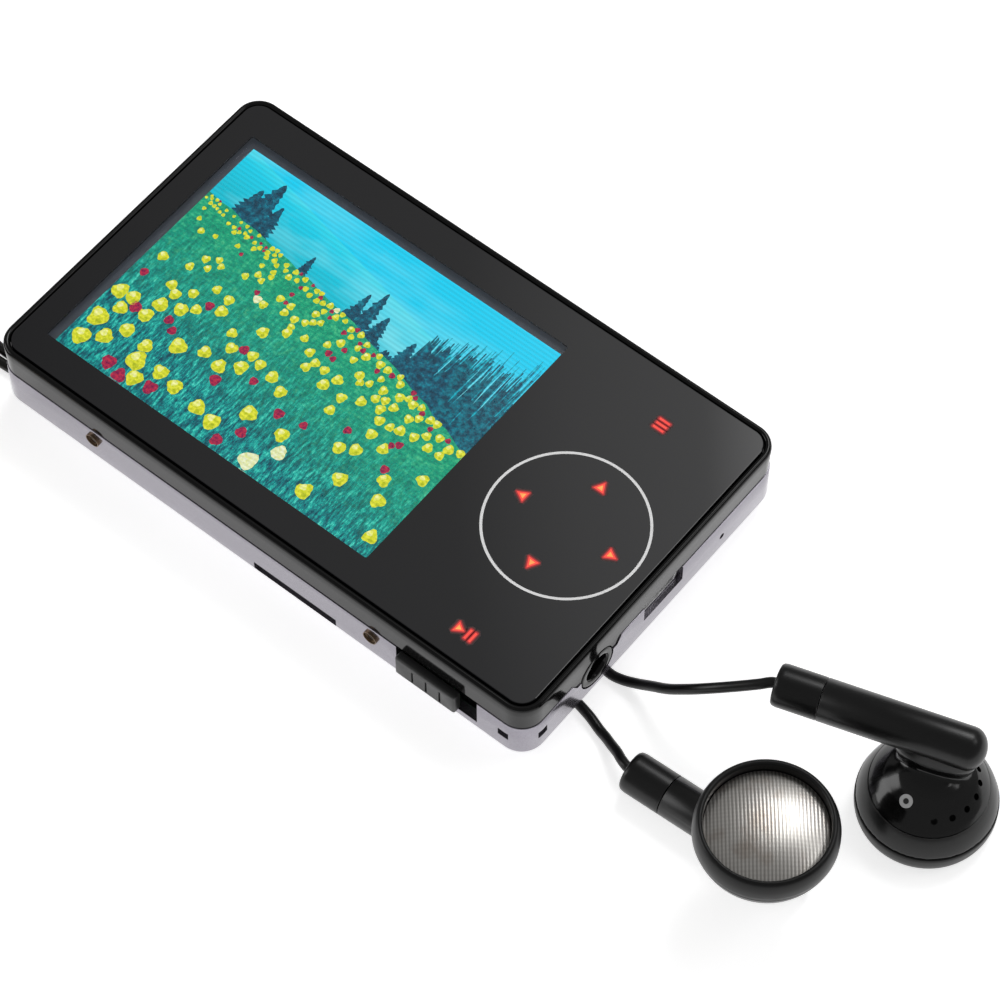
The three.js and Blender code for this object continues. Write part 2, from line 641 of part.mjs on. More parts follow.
const LEFT_TAIL = [
  [-83.9, -29.7, COIL.base + 1.9], [-84.8, -30.9, TABLE + 2.5], [-85.28, -32.2, TABLE + 2.4],
];
const RIGHT_TAIL = [
  [-83.1, -27.0, COIL.base + 1.95], [-85.2, -29.2, COIL.base + 1.85],
  [-86.4, -30.8, TABLE + 2.5], [-86.72, -32.2, TABLE + 2.4],
];
const MAIN_IN = [
  [-86, -44.8, TABLE + 2.4], [-86, -46.6, TABLE + 2.45], [-85.2, -49.2, TABLE + 2.75],
  [-83.0, -51.2, TABLE + 3.25], [-79.9, -51.5, TABLE + 3.9], [-77, -50.6, TABLE + 4.6],
  [-74.1, -49.85, TABLE + 5.25], [-70.3, -48.85, TABLE + 5.5],
];
const OVER = COIL_TOP + 0.3 + MAIN / 2; // height of the lead that crosses the coil
const MAIN_OUT = [
  [-59.05, -37.5, OVER], [-57.8, -34.2, OVER], [-57.7, -30.5, OVER], [-59.2, -26.7, OVER],
  [-62.4, -23.6, OVER], [-67.0, -22.15, OVER], [-72.1, -22.95, OVER], [-76.3, -26.3, OVER],
  [-78.2, -30.2, OVER], [-78.2, -33.9, OVER], [-77.2, -37.2, OVER], [-75.0, -39.8, OVER + 0.5],
  [-72.5, -41.1, OVER + 1.3], [-70.3, -41.4, OVER + 1.95],
];
const PLUG = { x: -70.0, y: -41.45, z: OVER + 1.95, turn: -6 };

function makeSplitter() {
  const r = SPLITTER.r;
  const end = SPLITTER.length;
  const body = turned(
    [[0, 0], [r - 0.5, 0], [r, 0.6], [r, end * 0.6], [MAIN / 2 + 0.5, end], [0, end]], 20,
  );
  const splitter = part("lead_splitter", body, RUBBER);
  splitter.rotation.x = Math.PI / 2;
  splitter.position.set(SPLITTER.x, SPLITTER.y0, TABLE + r);
  return splitter;
}

function makePlug() {
  const grip = turned(
    [[0, 0], [1.4, 0], [1.6, 4.0], [2.4, 6.0], [2.85, 8.0], [2.85, 19.0], [2.5, 20.0], [0, 20.0]], 24,
  );
  const seat = turned([[0, 19.2], [1.0, 19.2], [1.0, 21], [0, 21]], 12);
  const z = 20.15;
  const pin = turned(
    [
      [0, 19.4], [0.8, 19.4], [0.8, z], [2.0, z], [2.0, z + 0.6], [1.75, z + 0.6], [1.75, z + 11.6],
      [1.2, z + 12.2], [1.6, z + 13.1], [0.5, z + 14.2], [0, z + 14.2],
    ],
    20,
  );
  const place = (mesh) => {
    mesh.rotation.set(0, Math.PI / 2, THREE.MathUtils.degToRad(PLUG.turn), "ZYX");
    mesh.position.set(PLUG.x, PLUG.y, PLUG.z);
    return mesh;
  };
  return [
    place(part("plug_grip", cut(grip, seat), RUBBER)),
    place(part("plug_pin", pin, STEEL)),
  ];
}

function makeCoil() {
  const inner = MAIN_TURN[0] - MAIN / 2;
  const outer = BRANCH_TURN[1] + LEAD / 2;
  const mainRing = ring(inner, MAIN_TURN[3] + MAIN / 2, COIL.base, COIL_TOP, 48);
  const branchRing = ring(
    BRANCH_TURN[0] - LEAD / 2 + 0.1, outer, COIL.base, COIL.base + BRANCH_ROWS * LEAD, 48,
  );
  const slack = 0.25;
  const band = 0.45;
  const width = 3.0;
  const low = COIL.base - slack;
  const top = OVER + MAIN / 2 + slack;
  const loop = cut(
    box(inner - slack - band, outer + slack + band, -width / 2, width / 2, low - band, top + band),
    box(inner - slack, outer + slack, -width, width, low, top),
  );
  const tie = part("coil_tie", loop, RUBBER);
  tie.rotation.z = THREE.MathUtils.degToRad(12);
  tie.position.set(COIL.x, COIL.y, 0);
  return [
    part("main_lead_coil", mainRing.translate(COIL.x, COIL.y, 0), RUBBER),
    part("branch_lead_coil", branchRing.translate(COIL.x, COIL.y, 0), RUBBER),
    tie,
  ];
}

function makeLeads() {
  return [
    part("left_lead", tube(LEFT_ROUTE, LEAD, 40), RUBBER),
    part("right_lead", tube(RIGHT_ROUTE, LEAD, 56), RUBBER),
    part("left_lead_tail", tube(LEFT_TAIL, LEAD, 3), RUBBER),
    part("right_lead_tail", tube(RIGHT_TAIL, LEAD, 4), RUBBER),
    part("main_lead", tube(MAIN_IN, MAIN, 12), RUBBER),
    part("plug_lead", tube(MAIN_OUT, MAIN, 24), RUBBER),
  ];
}

// ---------------------------------------------------------------- assembly
const player = new THREE.Group();
player.add(
  makeWindow(),
  makeMask(),
  makeTouchFilm(),
  makeBezel(),
  makeShell(),
  makeMidFrame(),
  ...makeDisplay(),
  ...makeTouchBoard(),
  makeBoard(),
  ...makeChips(),
  ...makeBattery(),
  ...makeJack(),
  ...makeUsb(),
  makeCardSocket(),
  makeMicrophone(),
  ...makeSwitch(),
  ...SCREW_X.flatMap((x, i) => [
    makeScrew(`side_screw_near_${i + 1}`, x, -1),
    makeScrew(`side_screw_far_${i + 1}`, x, 1),
  ]),
);

const earphones = new THREE.Group();
earphones.add(...makeEarbuds(), ...makeLeads(), ...makeCoil(), makeSplitter(), ...makePlug());

const model = new THREE.Group();
model.add(player, earphones);
// The switch cap stands out of the -Y side, so the case sits half that distance towards +Y.
model.position.y = SWITCH_PROUD / 2;

export default model;
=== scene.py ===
import random
from math import atan2, cos, hypot, pi, radians, sin, tau

import bmesh
import bpy
from mathutils import Matrix, Vector, noise


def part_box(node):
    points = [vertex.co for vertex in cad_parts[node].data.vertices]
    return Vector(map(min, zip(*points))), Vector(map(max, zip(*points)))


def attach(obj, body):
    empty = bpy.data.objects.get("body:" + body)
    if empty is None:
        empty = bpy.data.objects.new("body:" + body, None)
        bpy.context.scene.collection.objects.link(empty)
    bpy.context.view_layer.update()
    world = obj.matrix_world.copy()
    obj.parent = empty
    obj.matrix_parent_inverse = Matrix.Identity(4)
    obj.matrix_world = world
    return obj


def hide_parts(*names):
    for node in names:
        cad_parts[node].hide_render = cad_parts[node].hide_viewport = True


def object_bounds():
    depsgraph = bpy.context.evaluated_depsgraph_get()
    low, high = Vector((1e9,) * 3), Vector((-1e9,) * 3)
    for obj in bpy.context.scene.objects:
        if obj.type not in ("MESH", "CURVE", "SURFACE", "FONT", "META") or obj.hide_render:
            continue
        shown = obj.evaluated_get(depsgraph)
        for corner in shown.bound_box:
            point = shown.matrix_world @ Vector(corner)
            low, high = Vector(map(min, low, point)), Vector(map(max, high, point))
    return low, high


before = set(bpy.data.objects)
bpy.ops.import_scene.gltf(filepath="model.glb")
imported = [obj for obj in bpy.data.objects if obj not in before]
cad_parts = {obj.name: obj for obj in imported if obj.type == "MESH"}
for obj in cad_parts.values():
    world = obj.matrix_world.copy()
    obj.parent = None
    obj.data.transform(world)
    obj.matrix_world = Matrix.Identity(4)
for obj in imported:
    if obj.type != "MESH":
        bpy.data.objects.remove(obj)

cad_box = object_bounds()

# A pocket audio player and its earphones. Lengths are in millimetres, and build() and row() make them
# metres. The case's own centre is a little to +Y of the origin, because the switch stands out at -Y.
MM = 0.001
SHELL_LOW, SHELL_HIGH = (Vector(corner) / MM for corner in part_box("rear_shell"))
BEZEL_HIGH = Vector(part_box("bezel_frame")[1]) / MM
CENTRE_Y = (SHELL_LOW.y + SHELL_HIGH.y) / 2
END = SHELL_HIGH.x
SIDE = SHELL_HIGH.y - CENTRE_Y
TOP = BEZEL_HIGH.z
BACK = SHELL_LOW.z
SEAM_LOW = SHELL_HIGH.z
TABLE = cad_box[0][2] / MM
SMALLEST_CORNER = 0.35
CORNER = 3.2  # radius of the case's corners, seen from above
LIP = 0.85  # width of the bezel's lip round the window

PLAYER = "player"
SWITCH = "slide_switch"


def row(x, y, z):
    """A point given from the middle of the case, in millimetres, as a point of the frame, in metres."""
    return Vector((x, y + CENTRE_Y, z)) * MM


def new_object(name, data):
    made = bpy.data.objects.new(name, data)
    bpy.context.collection.objects.link(made)
    return made


# ---- camera
CAMERA_PLACE = Vector((0.1744, -0.19366, 0.40561))
CAMERA_AZIMUTH, CAMERA_ELEVATION = radians(38.9), radians(58.5)
FOCAL_LENGTH, SENSOR_WIDTH = 144, 36


def add_camera():
    data = bpy.data.cameras.new("camera")
    data.lens = FOCAL_LENGTH
    data.sensor_width = SENSOR_WIDTH
    camera = new_object("camera", data)
    flat = cos(CAMERA_ELEVATION)
    back = Vector((sin(CAMERA_AZIMUTH) * flat, -cos(CAMERA_AZIMUTH) * flat, sin(CAMERA_ELEVATION)))
    camera.location = CAMERA_PLACE
    camera.rotation_euler = back.to_track_quat("Z", "Y").to_euler()
    bpy.context.scene.camera = camera


add_camera()

# ---- materials
def rgba(colour):
    """A colour of three numbers, or a grey's level, with full alpha."""
    return (*colour, 1.0) if isinstance(colour, tuple) else (colour, colour, colour, 1.0)


class Graph:
    """A material's or the world's node tree, with short names for the nodes that are used most."""

    def __init__(self, owner, shader="Principled BSDF"):
        owner.use_nodes = True
        self.owner = owner
        self.tree = owner.node_tree
        self.shader = self.tree.nodes[shader]

    def node(self, kind, inputs=None, **settings):
        node = self.tree.nodes.new(kind)
        for key, value in settings.items():
            setattr(node, key, value)
        for key, value in (inputs or {}).items():
            self.feed(node.inputs[key], value)
        return node

    def feed(self, socket, value):
        if isinstance(value, bpy.types.NodeSocket):
            self.tree.links.new(value, socket)
        else:
            socket.default_value = rgba(value) if socket.type == "RGBA" else value

    def set(self, **values):
        for key, value in values.items():
            self.feed(self.shader.inputs[key.replace("_", " ")], value)

    def math(self, operation, a, b=0.0, c=0.0):
        node = self.node("ShaderNodeMath", operation=operation)
        for socket, value in zip(node.inputs, (a, b, c)):
            self.feed(socket, value)
        return node.outputs[0]

    def mix(self, factor, a, b):
        node = self.node("ShaderNodeMix", data_type="RGBA")
        self.feed(node.inputs["Factor"], factor)
        self.feed(node.inputs["A"], a)
        self.feed(node.inputs["B"], b)
        return node.outputs["Result"]

    def ramp(self, factor, *stops):
        node = self.node("ShaderNodeValToRGB", {"Fac": factor})
        elements = node.color_ramp.elements
        while len(elements) < len(stops):
            elements.new(1.0)
        for element, (position, colour) in zip(elements, stops):
            element.position = position
            element.color = rgba(colour)
        return node.outputs["Color"]

    def place(self):
        return self.node("ShaderNodeTexCoord").outputs["Object"]

    def noise(self, scale, detail=3.0, roughness=0.5, vector=None):
        inputs = {"Vector": vector or self.place(), "Scale": scale, "Detail": detail, "Roughness": roughness}
        return self.node("ShaderNodeTexNoise", inputs).outputs["Fac"]

    def range(self, value, low, high, start=0.0, end=1.0):
        inputs = {"Value": value, "From Min": start, "From Max": end, "To Min": low, "To Max": high}
        return self.node("ShaderNodeMapRange", inputs).outputs["Result"]

    def bump(self, height, strength, distance):
        inputs = {"Height": height, "Strength": strength, "Distance": distance}
        return self.node("ShaderNodeBump", inputs).outputs["Normal"]


def new_graph(name):
    return Graph(bpy.data.materials.new(name))


def surface(name, colour, roughness, metallic=0.0, grain=0.0, grain_mm=0.2, vary=0.1, **extra):
    """A plain finish: a colour, or a grey's level, and a roughness that both drift, and a fine grain."""
    g = new_graph(name)
    drift = g.noise(220.0, 4.0)
    darker = tuple(c * (1 - vary) for c in rgba(colour)[:3])
    lighter = tuple(min(1.0, c * (1 + vary)) for c in rgba(colour)[:3])
    g.set(Base_Color=g.mix(drift, darker, lighter), Metallic=metallic)
    g.set(Roughness=g.range(g.noise(600.0, 2.0), roughness * 0.85, roughness * 1.15))
    if grain:
        g.set(Normal=g.bump(g.noise(1 / (grain_mm * MM), 2.0), grain, 0.02 * MM))
    g.set(**extra)
    return g.owner


GLOSS_BLACK = surface("gloss_black", 0.004, 0.09, vary=0.05, IOR=1.3)
WINDOW_BLACK = surface("window_black", (0.0055, 0.0055, 0.0068), 0.035, vary=0.05, IOR=1.6)
MATT_BLACK = surface("matt_black", 0.012, 0.5, grain=0.4, grain_mm=0.12)
SWITCH_BLACK = surface("switch_black", 0.02, 0.42, grain=0.5, grain_mm=0.1)
PRINT_BLACK = surface("print_black", 0.0025, 0.6, vary=0.05)
STEEL = surface("plated_steel", 0.55, 0.28, 1.0, grain=0.2)
BRASS = surface("brass_insert", (0.2, 0.14, 0.09), 0.4, 1.0, grain=0.3)
GOLD = surface("gold_contact", (0.85, 0.6, 0.25), 0.25, 1.0)
BOARD = surface("board_green", (0.02, 0.11, 0.05), 0.45, grain=0.3)
CHIP = surface("chip_black", 0.015, 0.55, grain=0.5, grain_mm=0.08)
FOIL = surface("foil", 0.55, 0.4, 0.9, grain=0.6, grain_mm=0.6)
FOAM = surface("foam", 0.03, 0.95, grain=1.0, grain_mm=0.3)
FILM = surface("amber_film", (0.2, 0.1, 0.03), 0.35)
WHITE_PLASTIC = surface("white_plastic", 0.75, 0.4, grain=0.2)
RED_WIRE = surface("red_wire", (0.4, 0.01, 0.01), 0.45)
LEAD = surface("lead_rubber", 0.0055, 0.3, grain=0.15, grain_mm=0.25, IOR=1.38)
BUD_SATIN = surface("bud_satin", 0.0045, 0.3, grain=0.12, grain_mm=0.1, IOR=1.4)
BUD_GLOSS = surface("bud_gloss", 0.003, 0.14, grain=0.03, grain_mm=0.3, IOR=1.45)
BUD_RUBBER = surface("bud_rubber", 0.006, 0.36, grain=0.12, grain_mm=0.12, IOR=1.32)
BADGE = surface("badge_grey", 0.5, 0.4)
# White print for the touch ring, with a faint white emission painted in as light: the print glows a little
# though it is no lamp.
PRINTED_WHITE_PAINTED_GLOW = surface(
    "printed_white_painted_glow", 0.85, 0.5, vary=0.03, Emission_Color=1.0, Emission_Strength=0.12,
)
# The display panel's edge strip: grey-blue, lightened, with a faint blue emission. Both are painted light
# that lifts the strip out of the shade under the window.
LCD_EDGE_PAINTED_GLOW = surface(
    "lcd_edge_painted_glow", (0.14, 0.16, 0.2), 0.3, Emission_Color=(0.5, 0.6, 0.78), Emission_Strength=0.03,
)


def silver_paint():
    """Glossy lavender-silver metallic paint with a fine flake."""
    g = new_graph("silver_shell")
    flake = g.node("ShaderNodeTexVoronoi", {"Vector": g.place(), "Scale": 9000.0}).outputs["Color"]
    flake = g.node("ShaderNodeSeparateColor", {"Color": flake}).outputs["Red"]
    drift = g.noise(60.0, 2.0)
    base = g.mix(drift, (0.275, 0.258, 0.297), (0.305, 0.288, 0.33))
    g.set(Base_Color=g.mix(g.range(flake, 0.0, 0.22), base, (0.52, 0.50, 0.56)), Metallic=0.85)
    g.set(Roughness=g.range(g.noise(500.0, 3.0), 0.16, 0.24))
    g.set(Normal=g.bump(g.noise(2600.0, 2.0), 0.08, 0.01 * MM))
    g.set(Coat_Weight=0.2, Coat_Roughness=0.06)
    return g.owner


def window_plastic():
    """Clear acrylic with the faintest wiping marks in its polish."""
    g = new_graph("window_clear")
    g.set(Base_Color=0.92, Transmission_Weight=1.0, IOR=1.4)
    g.set(Roughness=g.range(g.noise(90.0, 6.0, 0.7), 0.0, 0.012))
    return g.owner


def glow(name, inner, outer, strength=1.0):
    """A lit part of a touch mark."""
    g = new_graph(name)
    colour = g.mix(g.range(g.noise(900.0, 2.0), 0.0, 1.0, 0.35, 0.65), outer, inner)
    g.set(Base_Color=0.004, Emission_Color=colour, Emission_Strength=strength)
    return g.owner


WAVE = 0.314  # a wave texture's scale times the width of one of its waves
RIB, HOLE_ROW = 0.42, 0.5
RIBS_TURNED = (0.0, 0.0, radians(-38.9))


def grille_metal():
    """Pressed metal mesh: fine ribs crossed by rows of small holes, a little stained."""
    g = new_graph("grille_mesh")
    turn = g.node("ShaderNodeMapping", {"Vector": g.place(), "Rotation": RIBS_TURNED}).outputs["Vector"]
    ribs = g.node("ShaderNodeTexWave", {"Vector": turn, "Scale": WAVE / (RIB * MM)}).outputs["Fac"]
    row_wave = {"Vector": turn, "Scale": WAVE / (HOLE_ROW * MM)}
    rows = g.node("ShaderNodeTexWave", row_wave, bands_direction="Y").outputs["Fac"]
    weave = g.math("MULTIPLY", g.range(ribs, 0.45, 1.0), g.range(rows, 0.9, 1.0))
    stain = g.ramp(g.noise(260.0, 3.0, 0.6), (0.5, 0.0), (0.72, 1.0))
    metal = g.mix(stain, (0.62, 0.60, 0.57), (0.42, 0.36, 0.31))
    g.set(Base_Color=g.mix(weave, (0.12, 0.11, 0.10), metal), Metallic=0.9, Roughness=0.3)
    g.set(Normal=g.bump(weave, 0.35, 0.06 * MM))
    return g.owner


SILVER = silver_paint()
WINDOW = window_plastic()
# A mark's layers, from the widest to its core: how far its outline is pushed out, and its material.
GLOW_STEPS = [
    (0.42, glow("mark_spill", (0.020, 0.002, 0.002), (0.014, 0.001, 0.001))),
    (0.26, glow("mark_fringe", (0.09, 0.003, 0.004), (0.06, 0.002, 0.003))),
    (0.11, glow("mark_edge", (0.42, 0.012, 0.014), (0.34, 0.010, 0.012))),
    (-0.06, glow("mark_body", (1.0, 0.075, 0.045), (1.0, 0.05, 0.04))),
    (-0.3, glow("mark_core", (1.0, 0.42, 0.09), (1.0, 0.3, 0.07), 1.1)),
]
GRILLE = grille_metal()

# ---- shapes, each as (points, faces)
def outline(half_x, half_y, radius, steps=14):
    """A rectangle with round corners, seen from above."""
    points = []
    for quarter, (sx, sy) in enumerate([(1, 1), (-1, 1), (-1, -1), (1, -1)]):
        x, y = sx * (half_x - radius), sy * (half_y - radius)
        for i in range(steps + 1):
            angle = (quarter + i / steps) * pi / 2
            points.append((x + radius * cos(angle), y + radius * sin(angle)))
    return points


def skin(rings, closed=False):
    """Faces between rings of equally many points. The ends are capped, or joined to each other if closed."""
    count = len(rings[0])
    points = [p for ring in rings for p in ring]
    pairs = list(zip(range(len(rings)), range(1, len(rings))))
    if closed:
        pairs.append((len(rings) - 1, 0))
    faces = [
        (a * count + i, a * count + (i + 1) % count, b * count + (i + 1) % count, b * count + i)
        for a, b in pairs
        for i in range(count)
    ]
    if not closed:
        faces.append(tuple(range(count - 1, -1, -1)))
        faces.append(tuple((len(rings) - 1) * count + i for i in range(count)))
    return points, faces


def case_rings(levels):
    """Rings round the case from (inset, height) pairs."""
    return [
        [(x, y, z) for x, y in outline(END - inset, SIDE - inset, max(CORNER - inset, SMALLEST_CORNER))]
        for inset, z in levels
    ]


def lathe(profile, segments=96):
    """A solid turned about Z from (radius, height) pairs, which start and end on the axis or close."""
    closed = profile[0][0] > 0
    rings = [
        [(r * cos(a), r * sin(a), z) for a in (2 * pi * i / segments for i in range(segments))]
        for r, z in profile
        if r > 0
    ]
    points, faces = skin(rings, closed=closed)
    if closed:
        return points, faces
    faces = faces[:-2]
    for z, start in ((profile[0][1], 0), (profile[-1][1], (len(rings) - 1) * segments)):
        points.append((0.0, 0.0, z))
        faces += [(start + i, start + (i + 1) % segments, len(points) - 1) for i in range(segments)]
    return points, faces


def block(x0, x1, y0, y1, z0, z1, edge=0.0, steps=3):
    """A box whose edges are rounded by edge."""
    bm = bmesh.new()
    bmesh.ops.create_cube(bm, size=1.0)
    for v in bm.verts:
        v.co = Vector((x1 if v.co.x > 0 else x0, y1 if v.co.y > 0 else y0, z1 if v.co.z > 0 else z0))
    if edge:
        bmesh.ops.bevel(bm, geom=bm.edges[:], offset=edge, segments=steps, profile=0.5, affect="EDGES")
    bm.verts.index_update()
    shape = [tuple(v.co) for v in bm.verts], [tuple(v.index for v in f.verts) for f in bm.faces]
    bm.free()
    return shape


def prism(points, height0, height1):
    """A flat outline drawn up from height0 to height1."""
    return skin([[(x, y, h) for x, y in points] for h in (height0, height1)])


def rod(radius, length, segments=48):
    return lathe([(0, 0), (radius, 0), (radius, length), (0, length)], segments)


def turned(degrees, axis):
    return Matrix.Rotation(radians(degrees), 4, axis)


IN_CASE = Matrix.Translation((0, CENTRE_Y, 0))
ALONG_X = turned(90, "Y")
ALONG_Y = turned(-90, "X")


def at(x, y, z):
    """A place given from the middle of the case, in millimetres."""
    return IN_CASE @ Matrix.Translation((x, y, z))


# ---- objects
def build(name, shape, place=IN_CASE):
    """A mesh object from a shape, put in place and scaled to metres, its faces turned outwards."""
    points, faces = shape
    bm = bmesh.new()
    verts = [bm.verts.new(place @ Vector(p) * MM) for p in points]
    for face in faces:
        bm.faces.new([verts[i] for i in face])
    bmesh.ops.remove_doubles(bm, verts=bm.verts[:], dist=1e-7)
    bmesh.ops.recalc_face_normals(bm, faces=bm.faces[:])
    mesh = bpy.data.meshes.new(name)
    bm.to_mesh(mesh)
    bm.free()
    return new_object(name, mesh)


def bake(piece):
    """Turns a piece's modifiers into mesh."""
    graph = bpy.context.evaluated_depsgraph_get()
    mesh = bpy.data.meshes.new_from_object(piece.evaluated_get(graph))
    old = piece.data
    piece.modifiers.clear()
    piece.data = mesh
    bpy.data.meshes.remove(old)


def boolean(piece, operation, *shapes):
    """Joins shapes to a piece or cuts them from it. Each is a shape, or a shape and its place."""
    tools = []
    for i, shape in enumerate(shapes):
        form, place = shape if isinstance(shape[1], Matrix) else (shape, IN_CASE)
        tool = build(f"tool_{i}", form, place)
        tools.append(tool)
        modifier = piece.modifiers.new("boolean", "BOOLEAN")
        modifier.operation = operation
        modifier.solver = "EXACT"
        modifier.object = tool
    bake(piece)
    for tool in tools:
        bpy.data.objects.remove(tool)


def soften(piece, width):
    """Rounds the piece's sharp edges."""
    modifier = piece.modifiers.new("bevel", "BEVEL")
    modifier.width = width * MM
    modifier.segments = 2
    modifier.limit_method = "ANGLE"
    modifier.angle_limit = radians(35)
    bake(piece)


def finish_piece(piece, material, *nodes, body=PLAYER, sharp=32):
    """Shades a piece, gives it its material and body, and hides the CAD nodes it stands for."""
    mesh = piece.data
    mesh.materials.clear()
    mesh.materials.append(material)
    mesh.polygons.foreach_set("use_smooth", [True] * len(mesh.polygons))
    mesh.set_sharp_from_angle(angle=radians(sharp))
    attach(piece, body)
    if nodes:
        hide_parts(*nodes)
    return piece


def piece(name, shape, material, *nodes, place=IN_CASE, body=PLAYER, soft=0.0, sharp=32):
    """A finished piece from a shape, its sharp edges rounded by soft."""
    made = build(name, shape, place)
    if soft:
        soften(made, soft)
    return finish_piece(made, material, *nodes, body=body, sharp=sharp)


# ---- earphone leads
LEAD_D = 1.3
MAIN_D = 1.9
COIL_X, COIL_Y = -66, -33.5
COIL_BASE = TABLE + 0.75
BRANCH_TURN = [15.35, 16.7]  # radii of the branch leads' turns
BRANCH_END = 850  # degrees round the coil at which both branch leads leave it
MAIN_TURN = [8.0, 9.9, 11.8, 13.7]  # radii of the main lead's columns of turns
MAIN_ROWS = 3
OVER = COIL_BASE + MAIN_ROWS * MAIN_D + 0.3 + MAIN_D / 2



def from_table(points):
    return [(x, y, TABLE + z) for x, y, z in points]


LEFT_ROUTE = from_table([
    (52.2, -17.6, 2.6), (51.05, -17.65, 2.6), (49.9, -17.3, 2.45), (48.6, -16.6, 2.0), (47.2, -15.95, 1.35),
    (46.0, -15.4, 0.9), (44.8, -15.0, 0.65), (42.4, -14.2, 0.65), (38, -13.4, 0.65), (30, -13.2, 0.65),
    (18, -14.0, 0.65), (6, -15.4, 0.65), (-8, -17.0, 0.65), (-22, -18.6, 0.65), (-34, -20.0, 0.65),
    (-42, -20.8, 0.65), (-47, -20.9, 0.65), (-52, -19.9, 1.05), (-55.7, -18.7, 1.4),
])
RIGHT_ROUTE = from_table([
    (61.4, -2.85, 13.2), (60.3, -3.2, 13.2), (59.0, -4.1, 12.6), (56.95, -5.25, 11.4), (54.9, -6.25, 10.1),
    (52.95, -6.95, 8.6), (51.0, -7.4, 6.9), (48.9, -7.65, 4.95), (46.7, -7.65, 3.1), (44.7, -7.8, 1.65),
    (42.7, -8.15, 0.85), (40.9, -8.3, 0.65), (36, -7.0, 0.65), (29, -2.5, 0.65), (21, 4.0, 0.65),
    (11, 8.0, 0.65), (0, 8.0, 0.65), (-10, 4.0, 0.65), (-19, -3.0, 0.65), (-27, -10.5, 0.65),
    (-35, -16.6, 0.65), (-42, -19.2, 0.65), (-47, -19.3, 0.65), (-52, -18.3, 1.05), (-58, -17.05, 1.4),
])
LEFT_TAIL = from_table([
    (-83.9, -29.7, 2.65), (-84.8, -30.9, 2.5), (-85.28, -32.2, 2.4), (-85.28, -33.4, 2.4),
])
RIGHT_TAIL = from_table([
    (-83.1, -27.0, 2.7), (-85.2, -29.2, 2.6), (-86.4, -30.8, 2.5), (-86.72, -32.2, 2.4), (-86.72, -33.4, 2.4),
])
MAIN_IN = from_table([
    (-86, -43.6, 2.4), (-86, -44.8, 2.4), (-86, -46.6, 2.45), (-85.2, -49.2, 2.75), (-83.0, -51.2, 3.25),
    (-79.9, -51.5, 3.9), (-77, -50.6, 4.6), (-74.1, -49.85, 5.25), (-70.3, -48.85, 5.5),
])
MAIN_OUT = [
    (-59.05, -37.5, OVER), (-57.8, -34.2, OVER), (-57.7, -30.5, OVER), (-59.2, -26.7, OVER),
    (-62.4, -23.6, OVER), (-67.0, -22.15, OVER), (-72.1, -22.95, OVER), (-76.3, -26.3, OVER),
    (-78.2, -30.2, OVER), (-78.2, -33.9, OVER), (-77.2, -37.2, OVER), (-75.0, -39.8, OVER + 0.5),
    (-72.5, -41.1, OVER + 1.3), (-70.3, -41.4, OVER + 1.95), (-69.0, -41.55, OVER + 1.95),
]
POINTS_PER_TURN = 20
CROSSING = 0.72  # share of a turn after which the main lead moves over to its next cell


def on_coil(radius, degrees, z):
    angle = radians(degrees)
    return COIL_X + radius * cos(angle), COIL_Y + radius * sin(angle), z


def branch_turns(radius, start, end):
    """A rising helix, one lead diameter a turn."""
    count = round((end - start) / 360 * POINTS_PER_TURN)
    angles = [start + (end - start) * i / count for i in range(count + 1)]
    base = COIL_BASE + LEAD_D / 2
    return [on_coil(radius, a, base + LEAD_D * (a - start) / 360) for a in angles]


def main_turns(start):
    """Down the outer column of turns, up the next and so on, ending on top of the inner column."""
    heights = [COIL_BASE + MAIN_D * (i + 0.5) for i in range(MAIN_ROWS)]
    cells = []
    for column, radius in enumerate(reversed(MAIN_TURN)):
        order = reversed(heights) if column % 2 == 0 else heights
        cells += [(radius, z) for z in order]
    cells.append((MAIN_TURN[0] + 0.05, OVER))
    points = []
    for turn, (here, there) in enumerate(zip(cells, cells[1:])):
        for i in range(POINTS_PER_TURN):
            share = i / POINTS_PER_TURN
            step = max(0.0, (share - CROSSING) / (1 - CROSSING))
            blend = step * step * (3 - 2 * step)
            radius = here[0] + (there[0] - here[0]) * blend
            z = here[1] + (there[1] - here[1]) * blend
            points.append(on_coil(radius, start + 360 * (turn + share), z))
    points += [on_coil(cells[-1][0], start + 360 * (len(cells) - 1) + extra, OVER) for extra in (0, 20)]
    return points


def smooth_route(points, per_step=5):
    """Points of a centripetal Catmull-Rom curve through a route, as the CAD tubes follow it."""
    knots = [Vector(p) for p in points]
    knots = [knots[0] * 2 - knots[1], *knots, knots[-1] * 2 - knots[-2]]
    made = []
    for a, b, c, d in zip(knots, knots[1:], knots[2:], knots[3:]):
        t = [0.0]
        for p, q in ((a, b), (b, c), (c, d)):
            t.append(t[-1] + max((q - p).length, 1e-6) ** 0.5)
        for i in range(per_step):
            s = t[1] + (t[2] - t[1]) * i / per_step
            ab = a.lerp(b, (s - t[0]) / (t[1] - t[0]))
            bc = b.lerp(c, (s - t[1]) / (t[2] - t[1]))
            cd = c.lerp(d, (s - t[2]) / (t[3] - t[2]))
            low = ab.lerp(bc, (s - t[0]) / (t[2] - t[0]))
            high = bc.lerp(cd, (s - t[1]) / (t[3] - t[1]))
            made.append(low.lerp(high, (s - t[1]) / (t[2] - t[1])))
    return [*made, knots[-2]]


def lead(name, route, diameter, material, *nodes):
    """A lead as a curve of one open spline, and its length in metres."""
    points = [row(*p) for p in smooth_route(route)]
    data = bpy.data.curves.new(name, "CURVE")
    data.dimensions = "3D"
    data.bevel_depth = diameter / 2 * MM
    data.bevel_resolution = 5
    data.use_fill_caps = True
    spline = data.splines.new("POLY")
    spline.points.add(len(points) - 1)
    for target, point in zip(spline.points, points):
        target.co = (*point, 1.0)
    spline.use_smooth = True
    data.materials.append(material)
    cable = new_object(name, data)
    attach(cable, PLAYER)
    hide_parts(*nodes)
    length = sum((b - a).length for a, b in zip(points, points[1:]))
    return cable, length


